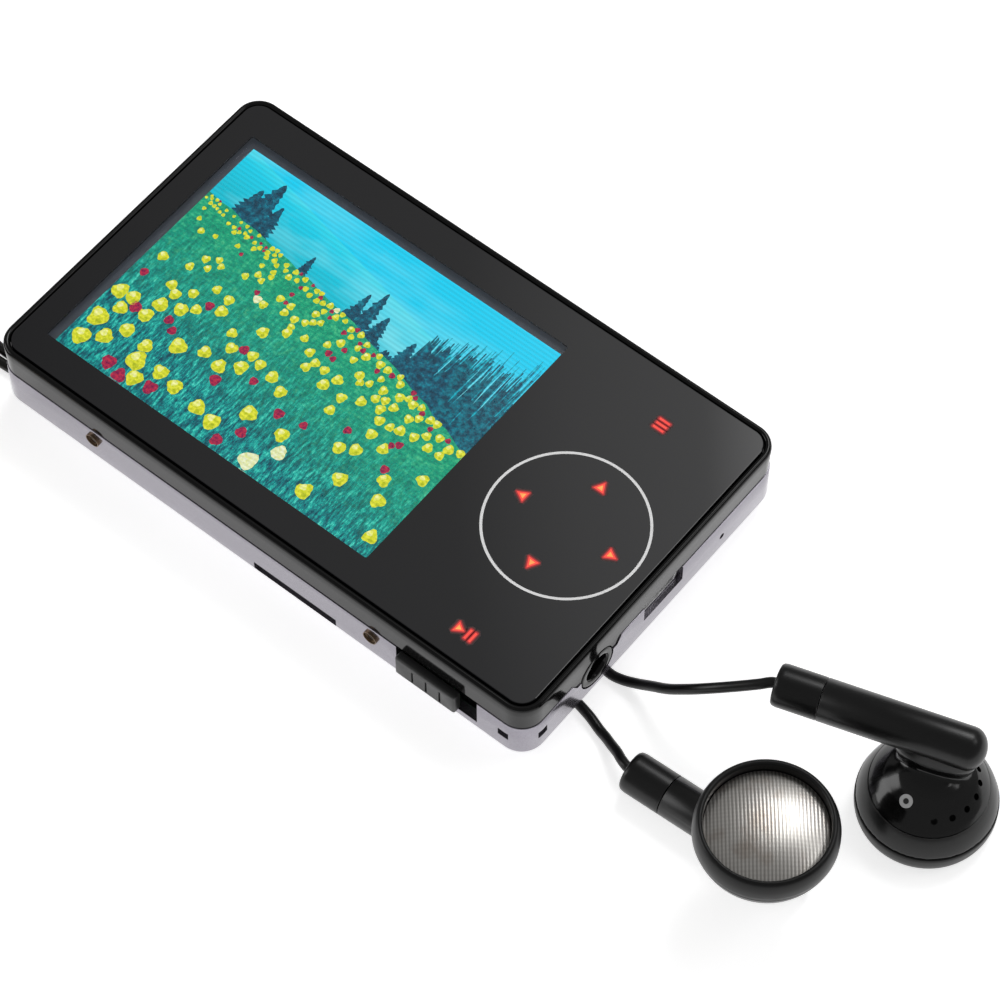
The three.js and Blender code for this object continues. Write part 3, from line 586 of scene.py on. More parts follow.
left_lead, left_length = lead(
    "left_branch_lead",
    LEFT_ROUTE + branch_turns(BRANCH_TURN[0], 78, BRANCH_END) + LEFT_TAIL,
    LEAD_D, LEAD, "left_lead", "left_lead_tail", "branch_lead_coil",
)
right_lead, right_length = lead(
    "right_branch_lead",
    RIGHT_ROUTE + branch_turns(BRANCH_TURN[1], 84, BRANCH_END) + RIGHT_TAIL,
    LEAD_D, LEAD, "right_lead", "right_lead_tail",
)
main_lead, main_length = lead(
    "main_lead_cable", MAIN_IN + main_turns(285) + MAIN_OUT,
    MAIN_D, LEAD, "main_lead", "plug_lead", "main_lead_coil",
)


# ---- pieces on the leads
def make_splitter():
    """The moulded Y piece: a rounded barrel with two cable mouths, grip rings and a tapered tail."""
    r = 2.35
    profile = [(0, 0), (1.9, 0), (2.2, 0.15), (r, 0.55)]
    for i in range(4):
        z = 2.0 + i * 1.1
        profile += [(r, z), (r - 0.22, z + 0.12), (r - 0.22, z + 0.42), (r, z + 0.54)]
    profile += [(r, 7.2), (2.15, 8.4), (1.7, 10.4), (1.42, 11.7), (1.25, 11.95), (0, 11.95)]
    place = at(-86, -32.5, TABLE + 2.4) @ turned(90, "X")
    return piece("splitter", lathe(profile, 64), LEAD, "lead_splitter", place=place)


def make_plug():
    """A straight 3.5 mm plug: ribbed strain relief, barrel grip and a three-pole pin."""
    place = at(-70.0, -41.45, OVER + 1.95) @ turned(-6, "Z") @ ALONG_X
    profile = [(0, 0), (1.3, 0), (1.45, 0.2)]
    for i in range(4):
        z = 0.9 + i * 1.1
        profile += [(1.5 + i * 0.06, z), (1.28 + i * 0.06, z + 0.1), (1.28 + i * 0.06, z + 0.5),
                    (1.52 + i * 0.06, z + 0.6)]
    profile += [(1.8, 5.6), (2.3, 6.4), (2.7, 7.4), (2.85, 8.6)]
    for i in range(7):
        z = 10.2 + i * 1.0
        profile += [(2.85, z), (2.7, z + 0.12), (2.7, z + 0.38), (2.85, z + 0.5)]
    profile += [(2.85, 18.6), (2.75, 19.4), (2.45, 19.85), (2.2, 19.95), (0, 19.95)]
    grip = piece("plug_barrel", lathe(profile, 64), LEAD, "plug_grip", place=place)
    z = 20.15
    pin_profile = [
        (0, 19.5), (0.8, 19.5), (0.8, z), (2.0, z), (2.0, z + 0.5), (1.75, z + 0.6), (1.75, z + 4.0),
        (1.72, z + 4.02), (1.72, z + 11.3), (1.6, z + 11.6), (1.2, z + 12.2), (1.32, z + 12.6),
        (1.62, z + 13.1), (1.3, z + 13.7), (0.6, z + 14.15), (0, z + 14.2),
    ]
    pin = piece("plug_contact", lathe(pin_profile, 64), GOLD, "plug_pin", place=place)
    rings = []
    for i, height in enumerate((4.6, 8.2)):
        band = lathe([(1.70, z + height), (1.765, z + height + 0.05), (1.765, z + height + 0.55),
                      (1.70, z + height + 0.6)], 64)
        rings.append(piece(f"plug_band_{i + 1}", band, MATT_BLACK, place=place))
    return [grip, pin, *rings]


def make_tie():
    """A soft band round the section of the coil."""
    inner, outer = MAIN_TURN[0] - MAIN_D / 2 - 0.25, BRANCH_TURN[1] + LEAD_D / 2 + 0.25
    low, top = COIL_BASE - 0.2, OVER + MAIN_D / 2 + 0.25
    middle, half = (inner + outer) / 2, (outer - inner) / 2
    rise, tall = (low + top) / 2, (top - low) / 2
    rings = []
    for grow, edge in ((0.0, -1.4), (0.4, -1.4), (0.4, 1.4), (0.0, 1.4)):
        loop = outline(half + grow, tall + grow, 1.2 + grow, 8)
        rings.append([(middle + x, edge, rise + z) for x, z in loop])
    place = at(COIL_X, COIL_Y, 0) @ turned(12, "Z")
    piece("coil_band", skin(rings, closed=True), LEAD, "coil_tie", place=place, soft=0.12)


splitter = make_splitter()
plug_pieces = make_plug()
make_tie()

# ---- case
YZ_ALONG_X = IN_CASE @ Matrix(((0, 0, 1, 0), (1, 0, 0, 0), (0, 1, 0, 0), (0, 0, 0, 1)))
SCREEN_X, SCREEN_Y, SCREEN_W, SCREEN_H = -11.6, -0.45, 48.96, 36.72
# The clear opening over the display is a little larger than the picture and off its middle.
VIEW_X, VIEW_Y, VIEW_MARGIN = SCREEN_X - 0.5, SCREEN_Y + 0.5, 0.6
# What is printed behind the window shows this far from its true place, so on its face it lies here.
PRINT_SHIFT = (0.24, -0.30)
JACK_Y, JACK_Z, JACK_BORE = -11.05, -0.72, 3.0
MIC_Y, MIC_Z = 12.9, -2.05
NOTCH_X0, NOTCH_X1, NOTCH_Z = 21.8, 33.9, -3.4
CARD_X0, CARD_X1, CARD_Z0, CARD_Z1 = -0.2, 12.5, -4.78, -3.1
LOOP_Z0, LOOP_Z1 = -2.4, -1.1  # the two lanyard holes beside the corner
USB_Y0, USB_Y1, USB_Z0, USB_Z1 = -2.2, 5.2, -1.85, 1.25
SCREWS = (-25.4, 18.05)
SCREW_Z = -0.75
LEDGE = TOP - 1.2
SEAM_HIGH = SEAM_LOW + 0.12


def jack_tab(grow, top):
    """The bezel's tapered tongue round the socket, as (y, z) points."""
    return [
        (JACK_Y - 3.6 - grow, JACK_Z + 0.42 - grow), (JACK_Y + 3.6 + grow, JACK_Z + 0.42 - grow),
        (JACK_Y + 5.1 + grow, top), (JACK_Y - 5.1 - grow, top),
    ]


def make_bezel():
    """A frame with a rounded lip, a step for the window, and a tongue round the socket."""
    levels = [
        (0.20, SEAM_HIGH), (0.12, SEAM_HIGH + 0.08), (0.09, 2.2), (0.04, 3.6), (0.0, TOP - 0.55),
        (0.03, TOP - 0.32), (0.12, TOP - 0.13), (0.26, TOP - 0.03), (0.42, TOP), (0.6, TOP - 0.03),
        (0.74, TOP - 0.12), (0.82, TOP - 0.28), (LIP, TOP - 0.45), (LIP, LEDGE), (2.6, LEDGE),
        (2.6, SEAM_HIGH),
    ]
    bezel = build("case_bezel", skin(case_rings(levels), closed=True))
    tab = prism(jack_tab(0, SEAM_HIGH + 0.5), END - 1.3, END - 0.14)
    boolean(bezel, "UNION", (tab, YZ_ALONG_X))
    boolean(
        bezel, "DIFFERENCE",
        (rod(JACK_BORE, 8, 64), at(END - 6, JACK_Y, JACK_Z) @ ALONG_X),
        block(END - 4, END + 1, USB_Y0 - 0.2, USB_Y1 + 0.2, SEAM_HIGH - 1, USB_Z1),
    )
    finish_piece(bezel, GLOSS_BLACK, "bezel_frame", sharp=40)


def make_rear_shell():
    """A tray with a rounded back edge and every opening of the case's sides."""
    angles = [radians(90 * i / 8) for i in range(9)]
    fillet = [(1.0 - sin(angle), BACK + 1.0 - cos(angle)) for angle in angles]
    levels = fillet + [(0.0, -2.0), (0.0, SEAM_LOW - 0.1), (0.03, SEAM_LOW - 0.03), (0.1, SEAM_LOW)]
    shell = build("case_rear", skin(case_rings(levels)))
    cavity = skin(case_rings([(1.3, BACK + 0.9), (1.3, SEAM_LOW + 1)]))
    holes = [
        cavity,
        (prism(jack_tab(0.1, SEAM_LOW + 1), END - 2.3, END + 2), YZ_ALONG_X),
        (rod(JACK_BORE, 8, 64), at(END - 4, JACK_Y, JACK_Z) @ ALONG_X),
        (rod(0.42, 8, 24), at(END - 4, MIC_Y, MIC_Z) @ ALONG_X),
        block(END - 4, END + 2, USB_Y0, USB_Y1, USB_Z0, SEAM_LOW + 1),
        block(NOTCH_X0, NOTCH_X1, -SIDE - 2, -SIDE + 1.8, NOTCH_Z, SEAM_LOW + 1),
        block(CARD_X0, CARD_X1, -SIDE - 2, -SIDE + 1.8, CARD_Z0, CARD_Z1),
        block(37.0, 38.5, -SIDE - 2, -SIDE + 3, LOOP_Z0, LOOP_Z1),
        block(END - 3, END + 2, -21.9, -20.4, LOOP_Z0, LOOP_Z1),
    ]
    for x in SCREWS:
        holes.append((rod(0.62, 2 * SIDE + 4, 32), at(x, -SIDE - 2, SCREW_Z) @ ALONG_Y))
        for y in (-SIDE - 1.45, SIDE - 0.55):
            holes.append((rod(1.0, 2, 40), at(x, y, SCREW_Z) @ ALONG_Y))
    boolean(shell, "DIFFERENCE", *holes)
    soften(shell, 0.09)
    finish_piece(shell, SILVER, "rear_shell", sharp=40)


def view_outline(grow=0.0):
    half_x, half_y = SCREEN_W / 2 + VIEW_MARGIN + grow, SCREEN_H / 2 + VIEW_MARGIN + grow
    return [(VIEW_X + x, VIEW_Y + y) for x, y in outline(half_x, half_y, 0.25, 4)]


def make_window():
    """The window: a black printed plate, with a clear pane over the display."""
    def ring(grow, height):
        return [(x + PRINT_SHIFT[0], y + PRINT_SHIFT[1], height) for x, y in view_outline(grow)]

    plate = build("window_plate", skin(case_rings([
        (LIP + 0.15, TOP - 1.05), (LIP + 0.15, TOP - 0.1), (LIP + 0.18, TOP - 0.03), (LIP + 0.25, TOP),
    ])))
    boolean(plate, "DIFFERENCE", skin([ring(1.6, TOP - 1.35), ring(-0.32, TOP + 0.27)]))
    finish_piece(plate, WINDOW_BLACK, "front_window", sharp=20)
    piece("window_pane", skin([ring(1.28, TOP - 1.05), ring(-0.03, TOP - 0.01)]), WINDOW, sharp=20)


def make_screw(label, place):
    head = [(0, 0), (0.72, 0.0), (0.83, 0.05), (0.86, 0.14), (0.86, 0.3), (0.5, 0.5), (0.5, 2.6), (0, 2.6)]
    screw = build(f"case_screw_{label}", lathe(head, 48), place)
    cross = [block(-0.6, 0.6, -0.12, 0.12, -0.5, 0.22), block(-0.12, 0.12, -0.6, 0.6, -0.5, 0.22)]
    boolean(screw, "DIFFERENCE", *[(slot, place) for slot in cross])
    finish_piece(screw, STEEL, f"side_screw_{label}")
    well = lathe([(0.88, -0.42), (0.985, -0.42), (0.985, 0.42), (0.88, 0.42)], 48)
    piece(f"screw_well_{label}", well, BRASS, place=place)


def make_screws():
    for end, side, turn in (("near", -1, ALONG_Y), ("far", 1, ALONG_Y.inverted())):
        for number, x in enumerate(SCREWS, 1):
            make_screw(f"{end}_{number}", at(x, side * (SIDE - 0.03), SCREW_Z) @ turn)


def make_switch():
    """The slide switch's cap, with three grooves, and the foot that reaches in to its slider."""
    cap = build("switch_button", block(22.35, 31.3, -SIDE - 1.0, -SIDE + 1.2, -3.1, 0.5, 0.32, 4))
    boolean(
        cap, "DIFFERENCE",
        block(21, 33, -SIDE + 0.15, -SIDE + 3, -4.5, 2),
        *[block(x - 0.13, x + 0.13, -SIDE - 2, -SIDE - 0.72, -2.6, -0.35) for x in (25.0, 27.05, 29.1)],
    )
    boolean(cap, "UNION", block(26.0, 28.0, -SIDE - 0.15, -SIDE + 1.75, -1.9, -0.9))
    soften(cap, 0.06)
    finish_piece(cap, SWITCH_BLACK, "switch_cap", body=SWITCH, sharp=40)


def make_jack():
    """The headphone socket's collar and one of its springs."""
    collar = lathe([
        (1.85, END - 1.05), (2.7, END - 1.05), (2.85, END - 0.95), (2.85, END - 0.16), (2.78, END - 0.05),
        (2.66, END - 0.02), (2.1, END - 0.02), (1.95, END - 0.07), (1.85, END - 0.2),
    ])
    place = at(0, JACK_Y, JACK_Z) @ ALONG_X
    piece("jack_collar", collar, GLOSS_BLACK, "socket_collar", place=place, sharp=50)
    leaf = [
        (35.6, -1.75), (37.4, -1.15), (38.6, -1.15), (39.6, -1.8),
        (39.5, -1.84), (38.5, -1.27), (37.4, -1.27), (35.6, -1.83),
    ]
    spring = skin([[(x, y, JACK_Z + z) for x, z in leaf] for y in (JACK_Y - 0.45, JACK_Y + 0.45)])
    piece("jack_spring", spring, STEEL, soft=0.02)


def make_usb():
    """The USB socket: a steel can with two slanted corners, its tongue and five contacts."""
    front = END - 0.7
    y0, y1, z0, z1 = USB_Y0 + 0.15, USB_Y1 - 0.15, USB_Z0 + 0.1, USB_Z1 - 0.1
    can = build("usb_can", block(32.4, front, y0, y1, z0, z1, 0.2))
    inner = [
        (y0 + 0.3, z1 - 0.3), (y0 + 0.3, z0 + 1.0), (y0 + 0.9, z0 + 0.3),
        (y1 - 0.9, z0 + 0.3), (y1 - 0.3, z0 + 1.0), (y1 - 0.3, z1 - 0.3),
    ]
    boolean(can, "DIFFERENCE", (prism(inner, 33.0, front + 1), YZ_ALONG_X))
    soften(can, 0.05)
    finish_piece(can, STEEL, "usb_shell", sharp=40)
    middle = (USB_Y0 + USB_Y1) / 2
    blade = block(33.2, front - 0.8, middle - 2.1, middle + 2.1, -0.7, 0.0, 0.08)
    piece("usb_blade", blade, MATT_BLACK, "usb_tongue")
    for i in range(5):
        y = middle + (i - 2) * 0.8
        piece(f"usb_contact_{i + 1}", block(35.5, front - 0.95, y - 0.2, y + 0.2, 0.0, 0.06, 0.02), GOLD)


# ---- display and touch marks
PANEL_TOP = 3.78
RING_X, RING_Y, RING_R = 28.3, -0.75, 10.0
PRINT = 4.22
SKY_Z = PANEL_TOP + 0.01
BACKLIGHT = 1.12
FACE = TOP + 0.001  # height at which the marks on the window's face start


def make_mask():
    film = build("window_print", skin(case_rings([(LIP + 0.17, PRINT - 0.08), (LIP + 0.17, PRINT)])))
    boolean(film, "DIFFERENCE", prism(view_outline(), PRINT - 1, PRINT + 1))
    finish_piece(film, PRINT_BLACK, "mask_film")


def make_ring():
    inner, outer, top = RING_R - 0.17, RING_R + 0.17, FACE + 0.004
    ring = lathe([(inner, FACE), (outer, FACE), (outer, top), (inner, top)], 180)
    # The ring's white print carries a faint painted glow.
    piece("touch_ring", ring, PRINTED_WHITE_PAINTED_GLOW, place=at(RING_X + PRINT_SHIFT[0], RING_Y + PRINT_SHIFT[1], 0))


def flat_shapes(loops, z, thick=0.004):
    """Several flat outlines as thin solids in one mesh."""
    points, faces = [], []
    for loop in loops:
        more, extra = skin([[(x, y, h) for x, y in loop] for h in (z, z + thick)])
        faces += [tuple(i + len(points) for i in face) for face in extra]
        points += more
    return points, faces


def grown(loop, by):
    """An outline with its edges moved outwards and its corners cut, or shrunk about its middle."""
    if by < 0:
        cx, cy = (sum(p[i] for p in loop) / len(loop) for i in (0, 1))
        share = max(0.25, 1 + 1.8 * by)
        return [(cx + (x - cx) * share, cy + (y - cy) * share) for x, y in loop]
    area = sum(a[0] * b[1] - b[0] * a[1] for a, b in zip(loop, loop[1:] + loop[:1]))
    way = 1 if area > 0 else -1
    made = []
    for before, here, after in zip(loop[-1:] + loop[:-1], loop, loop[1:] + loop[:1]):
        one = (Vector(here) - Vector(before)).normalized()
        two = (Vector(after) - Vector(here)).normalized()
        for side in (one, two):
            made.append((here[0] + way * side.y * by, here[1] - way * side.x * by))
    return made


def bar(x0, x1, y0, y1):
    return [(x0, y0), (x1, y0), (x1, y1), (x0, y1)]


def mark_loops():
    """Four arrows on the ring, a play and pause mark, and a menu mark of three bars."""
    arrow = [(0.95, 0.0), (-0.6, 0.85), (-0.6, -0.85)]
    groups = []
    for quarter in range(4):
        turn = Matrix.Rotation(quarter * pi / 2, 2)
        loop = [turn @ Vector(p) for p in arrow]
        middle = turn @ Vector((6.6, 0.0))
        groups.append([[(RING_X + middle.x + p.x, RING_Y + middle.y + p.y) for p in loop]])
    x, y = 28.2, -19.35
    play = [(x - 0.05, y), (x - 1.4, y + 0.85), (x - 1.4, y - 0.85)]
    groups.append([play, bar(x + 0.25, x + 0.6, y - 0.8, y + 0.8), bar(x + 0.95, x + 1.3, y - 0.8, y + 0.8)])
    x, y = 28.5, 17.2
    groups.append([bar(x - 0.85, x + 0.85, y + d - 0.16, y + d + 0.16) for d in (-0.65, 0.0, 0.65)])
    return groups


def make_marks():
    """Each mark as thin layers, dull and wide below, bright and narrow on top."""
    place = at(*PRINT_SHIFT, 0)
    for i, loops in enumerate(mark_loops()):
        for layer, (push, material) in enumerate(GLOW_STEPS):
            shapes = [grown(loop, push) for loop in loops if push > -0.2 or len(loop) == 3]
            if shapes:
                shape = flat_shapes(shapes, FACE + layer * 0.004, 0.002)
                piece(f"touch_mark_{i + 1}_{layer + 1}", shape, material, place=place)


def screen_material(name, build_colour):
    """A lit part of the picture, with the fine lines of the display over it."""
    g = new_graph(name)
    wave = {"Vector": g.place(), "Scale": 0.31 / (0.6 * MM)}
    lines = g.node("ShaderNodeTexWave", wave, bands_direction="Y")
    lit = g.mix(g.range(lines.outputs["Fac"], 0.0, 0.16), build_colour(g), (0.0, 0.03, 0.05))
    g.set(Base_Color=0.0, Specular_IOR_Level=0.0, Emission_Color=lit, Emission_Strength=BACKLIGHT)
    return g.owner


def layer(name, loops, lift, colour, material=None):
    """One layer of the picture, lying above the sky by lift."""
    piece(name, flat_shapes(loops, SKY_Z + lift), screen_material(material or name, colour))


def across(g):
    """Place on the picture: from its -X edge to its +X edge, and from its -Y edge to its +Y edge."""
    parts = g.node("ShaderNodeSeparateXYZ", {"Vector": g.place()}).outputs
    left = (SCREEN_X - SCREEN_W / 2) * MM
    low = (SCREEN_Y - SCREEN_H / 2 + CENTRE_Y) * MM
    u = g.math("DIVIDE", g.math("SUBTRACT", parts["X"], left), SCREEN_W * MM)
    v = g.math("DIVIDE", g.math("SUBTRACT", parts["Y"], low), SCREEN_H * MM)
    return u, v


def sky_colour(g):
    u, v = across(g)
    tall = g.math("ADD", v, g.math("MULTIPLY", u, 0.3))
    sky = g.ramp(
        tall, (0.82, (0.0, 0.52, 0.66)), (0.95, (0.0, 0.63, 0.84)), (1.02, (0.03, 0.72, 0.88)),
        (1.06, (0.0, 0.74, 0.95)), (1.3, (0.0, 0.64, 0.92)),
    )
    streaks = g.node("ShaderNodeMapping", {"Vector": g.place(), "Scale": (0.35, 1.0, 1.0)}).outputs["Vector"]
    mist = g.ramp(g.noise(120.0, 4.0, 0.55, streaks), (0.48, 0.0), (0.75, 1.0))
    near_ridge = g.range(tall, 1.0, 0.15, 0.95, 1.2)
    return g.mix(g.math("MULTIPLY", mist, near_ridge), sky, (0.22, 0.82, 0.92))


def meadow_colour(g):
    u, v = across(g)
    far = g.range(g.math("ADD", v, g.math("MULTIPLY", u, 0.27)), 0.0, 1.0, 0.25, 0.72)
    lean = {"Vector": g.place(), "Rotation": (0.0, 0.0, radians(25)), "Scale": (1.7, 0.42, 1.0)}
    stretched = g.node("ShaderNodeMapping", lean)
    blades = g.noise(1500.0, 4.0, 0.8, stretched.outputs["Vector"])
    grass = g.ramp(
        blades, (0.36, (0.0, 0.04, 0.07)), (0.46, (0.0, 0.14, 0.17)), (0.54, (0.0, 0.32, 0.30)),
        (0.61, (0.03, 0.60, 0.48)), (0.69, (0.15, 0.85, 0.68)),
    )
    distant = g.ramp(
        g.noise(1700.0, 4.0, 0.7), (0.35, (0.0, 0.22, 0.13)), (0.52, (0.0, 0.38, 0.19)),
        (0.7, (0.08, 0.58, 0.26)),
    )
    return g.mix(far, grass, distant)


def speckled(scale, detail, roughness, *stops):
    return lambda g: g.ramp(g.noise(scale, detail, roughness), *stops)


TREES = speckled(
    1500.0, 4.0, 0.7, (0.38, (0.0, 0.035, 0.07)), (0.54, (0.0, 0.10, 0.17)), (0.72, (0.0, 0.3, 0.4)),
)
REEDS = speckled(1500.0, 3.0, 0.7, (0.4, (0.0, 0.05, 0.09)), (0.65, (0.0, 0.22, 0.30)))
FAR_REEDS = speckled(1500.0, 3.0, 0.7, (0.38, (0.0, 0.16, 0.27)), (0.62, (0.0, 0.50, 0.62)))


def petal_colour(dark, light):
    return lambda g: g.mix(g.range(g.noise(2600.0, 2.0), 0.0, 1.0, 0.35, 0.65), dark, light)


def on_screen(u, v):
    """The point at shares u of the picture's width and v of its height."""
    return SCREEN_X + (u - 0.5) * SCREEN_W, SCREEN_Y + (v - 0.5) * SCREEN_H


def horizon(u):
    """How high the meadow's edge is, as a share of the picture's height."""
    return 0.775 - 0.23 * u - 0.05 * u * u + 0.03 * sin(3.0 * u)


def conifer(u, v, tall, wide, tiers, rng):
    """A ragged pointed tree, standing on the picture at (u, v)."""
    right, left = [], []
    for i in range(tiers):
        share = i / tiers
        spread = wide * (1 - share) ** 0.8 * 0.5
        for side, way in ((right, 1), (left, -1)):
            tip = spread * rng.uniform(0.7, 1.15)
            side.append((u + way * tip, v + tall * (share + rng.uniform(0, 0.3) / tiers)))
            side.append((u + way * spread * 0.55, v + tall * (share + 0.7 / tiers)))
    loop = right + [(u, v + tall)] + left[::-1]
    return [on_screen(min(max(x, 0), 1), min(max(y, 0), 1)) for x, y in loop]


def blossom(x, y, size, rng):
    """A flower head: a rounded cup with an uneven edge."""
    lean = rng.uniform(0, tau)
    loop = []
    for i in range(16):
        angle = tau * i / 16
        reach = size * 0.5 * (0.9 + 0.1 * sin(3 * angle + lean) + rng.uniform(-0.09, 0.09))
        loop.append((x + reach * cos(angle), y + 1.08 * reach * sin(angle)))
    return loop


def reed(u, top, half_foot, half_tip, lean):
    """A narrow blade that starts a little below the meadow's edge."""
    foot = horizon(u) - 0.02
    tip = u + lean
    corners = ((u - half_foot, foot), (u + half_foot, foot), (tip + half_tip, top), (tip - half_tip, top))
    return [on_screen(min(x, 1), y) for x, y in corners]


CONIFERS = [  # place, height and width
    (0.105, 0.13, 0.09), (0.14, 0.20, 0.12), (0.18, 0.13, 0.09), (0.34, 0.075, 0.05),
    (0.52, 0.12, 0.06), (0.555, 0.17, 0.075), (0.60, 0.11, 0.08), (0.70, 0.12, 0.08),
    (0.735, 0.17, 0.08), (0.775, 0.20, 0.09), (0.82, 0.17, 0.10),
]
PETALS = {  # lift, darker and lighter colour
    "yellow": (0.03, (0.55, 0.62, 0.0), (0.86, 0.86, 0.05)),
    "cream": (0.03, (0.75, 0.8, 0.3), (0.9, 0.95, 0.7)),
    "red": (0.03, (0.20, 0.0, 0.06), (0.55, 0.02, 0.06)),
    "lit": (0.036, (0.8, 0.86, 0.1), (0.95, 0.95, 0.45)),
    "shade": (0.036, (0.42, 0.5, 0.0), (0.6, 0.66, 0.02)),
}


def make_backdrop(rng):
    """The panel, the sky all over it and the meadow with an uneven edge."""
    # The panel's edge strip carries a faint painted glow that lifts it out of the shade.
    piece("display_panel", block(-37.9, 14.6, -20.6, 20.3, 2.45, PANEL_TOP, 0.1), LCD_EDGE_PAINTED_GLOW, "lcd_panel")
    x0, y0 = on_screen(0, 0)
    x1, y1 = on_screen(1, 1)
    layer("picture_sky", [bar(x0, x1, y0, y1)], 0.0, sky_colour)
    edge = [on_screen(i / 24, horizon(i / 24) + rng.uniform(-0.006, 0.006)) for i in range(25)]
    layer("picture_meadow", [[(x0, y0), (x1, y0), *edge[::-1]]], 0.02, meadow_colour)


def make_trees(rng):
    trees = [conifer(u, horizon(u) - 0.03, tall + 0.03, wide, 9, rng) for u, tall, wide in CONIFERS]
    for _ in range(60):
        u = rng.uniform(0.5, 1.0)
        trees.append(conifer(u, horizon(u) - 0.02, rng.uniform(0.02, 0.05), 0.03, 4, rng))
    layer("picture_trees", trees, 0.012, TREES)


def make_reeds(rng):
    """Dark reeds, and paler and taller ones behind them."""
    near = []
    for i in range(150):
        u = 0.72 + 0.28 * i / 149 + rng.uniform(-0.006, 0.006)
        top = horizon(u) + rng.uniform(0.10, 0.30) * (0.75 + 0.5 * (u - 0.74) / 0.26)
        near.append(reed(u, top, 0.005, 0.0016, rng.uniform(-0.012, 0.018)))
    layer("picture_reeds", near, 0.006, REEDS)
    far_rng = random.Random(5)
    far = []
    for _ in range(150):
        u = far_rng.uniform(0.74, 0.99)
        top = horizon(u) - 0.02 + far_rng.uniform(0.16, 0.46) * (0.55 + 0.45 * (u - 0.74) / 0.25)
        half_foot = far_rng.uniform(0.002, 0.006)
        far.append(reed(u, top, half_foot, 0.001, far_rng.uniform(-0.01, 0.02)))
    layer("picture_far_reeds", far, 0.003, FAR_REEDS, "far_reeds")


def make_tulips(rng):
    """Flower heads, thick along the meadow's edge and in drifts, larger towards the picture's foot."""
    x0, y0 = on_screen(0, 0)
    x1, _ = on_screen(1, 1)
    tulips = {kind: [] for kind in PETALS}
    placed = []
    for _ in range(7000):
        u, v = rng.uniform(0.005, 0.995), rng.uniform(0.0, 0.8)
        depth = horizon(u) - v
        if depth < 0.004:
            continue
        crowd = noise.noise(Vector((u * 7, v * 7, 3.0)))
        share = 0.6 if depth < 0.05 else 0.02 + 0.10 * max(0.0, crowd) + 0.08 * u * (depth < 0.2)
        if rng.random() > share:
            continue
        pick = rng.random()
        kind = "red" if pick < 0.27 else "cream" if pick < 0.29 else "yellow"
        size = (0.42 + 0.85 * u) + 3.3 * depth * (1 - 0.45 * u)
        size *= rng.uniform(0.85, 1.15) * (0.72 if kind == "red" else 1.0)
        x, y = on_screen(u, v)
        if not (x0 + size / 2 < x < x1 - size / 2 and y0 + size / 2 < y):
            continue
        if any(hypot(x - a, y - b) < (size + s) * 0.4 for a, b, s in placed):
            continue
        placed.append((x, y, size))
        tulips[kind].append(blossom(x, y, size, rng))
        if size > 0.9 and kind == "yellow":
            off = size * 0.16
            tulips["lit"].append(blossom(x - off, y + off, size * 0.42, rng))
            tulips["shade"].append(blossom(x + off, y - off * 1.3, size * 0.3, rng))
    for kind, (lift, *colours) in PETALS.items():
        layer(f"picture_{kind}_petals", tulips[kind], lift, petal_colour(*colours), f"petal_{kind}")


def make_picture():
    rng = random.Random(7)
    for make_layer in (make_backdrop, make_trees, make_reeds, make_tulips):
        make_layer(rng)


# ---- earbuds
LEFT_BUD = at(71.1, -18.9, TABLE + 15.8) @ turned(2.6, "Z")
RIGHT_BUD = (
    at(80.05, 0.85, TABLE) @ turned(17.6, "Z")
    @ turned(180, "X") @ Matrix.Scale(-1, 4, (0, 1, 0))
)
STEM_Y, STEM_Z, STEM_R = 2.1, -13.2, 2.6
GRILLE_R = 7.08
# Profiles of an earbud as (radius, height) pairs, its sound outlet facing up with the rim's top at 0.
RIM = [
    (7.2, -3), (8.28, -3.0), (8.33, -2.95), (8.35, -2.4), (8.33, -1.7), (8.25, -1.2), (8.13, -0.75),
    (8.0, -0.4), (7.84, -0.14), (7.6, 0), (7.4, -0.04), (7.26, -0.16), (7.2, -0.4),
]
DOME = [
    (0, -10.1), (1.4, -9.98), (2.8, -9.6), (3.8, -9.12), (4.6, -8.5), (5.35, -7.95), (6.0, -7.3),
    (6.55, -6.7), (7.0, -6.1), (7.28, -5.7), (7.5, -5.3), (7.75, -4.8), (7.95, -4.3), (8.14, -3.7),
    (8.28, -3.1), (8.26, -3.06), (0, -3.06),
]
VENTS = [(5.65, degrees) for degrees in (-68, -46, -25, -5, 14, 32)]
BADGE_SPOT = (4.63, -110)


def dome_height(radius):
    """The dome's height at a radius, and its slope there."""
    for (r0, z0), (r1, z1) in zip(DOME, DOME[1:]):
        if r0 <= radius <= r1:
            return z0 + (z1 - z0) * (radius - r0) / (r1 - r0), atan2(z1 - z0, r1 - r0)
    return DOME[-2][1], 0.0


def on_dome(place, radius, degrees, out=0.0):
    """A frame on the dome with its Z pointing out of the surface."""
    z, slope = dome_height(radius)
    turn = turned(degrees, "Z")
    tilt = Matrix.Rotation(pi - slope, 4, "Y")
    return place @ turn @ Matrix.Translation((radius, 0, z)) @ tilt @ Matrix.Translation((0, 0, out))


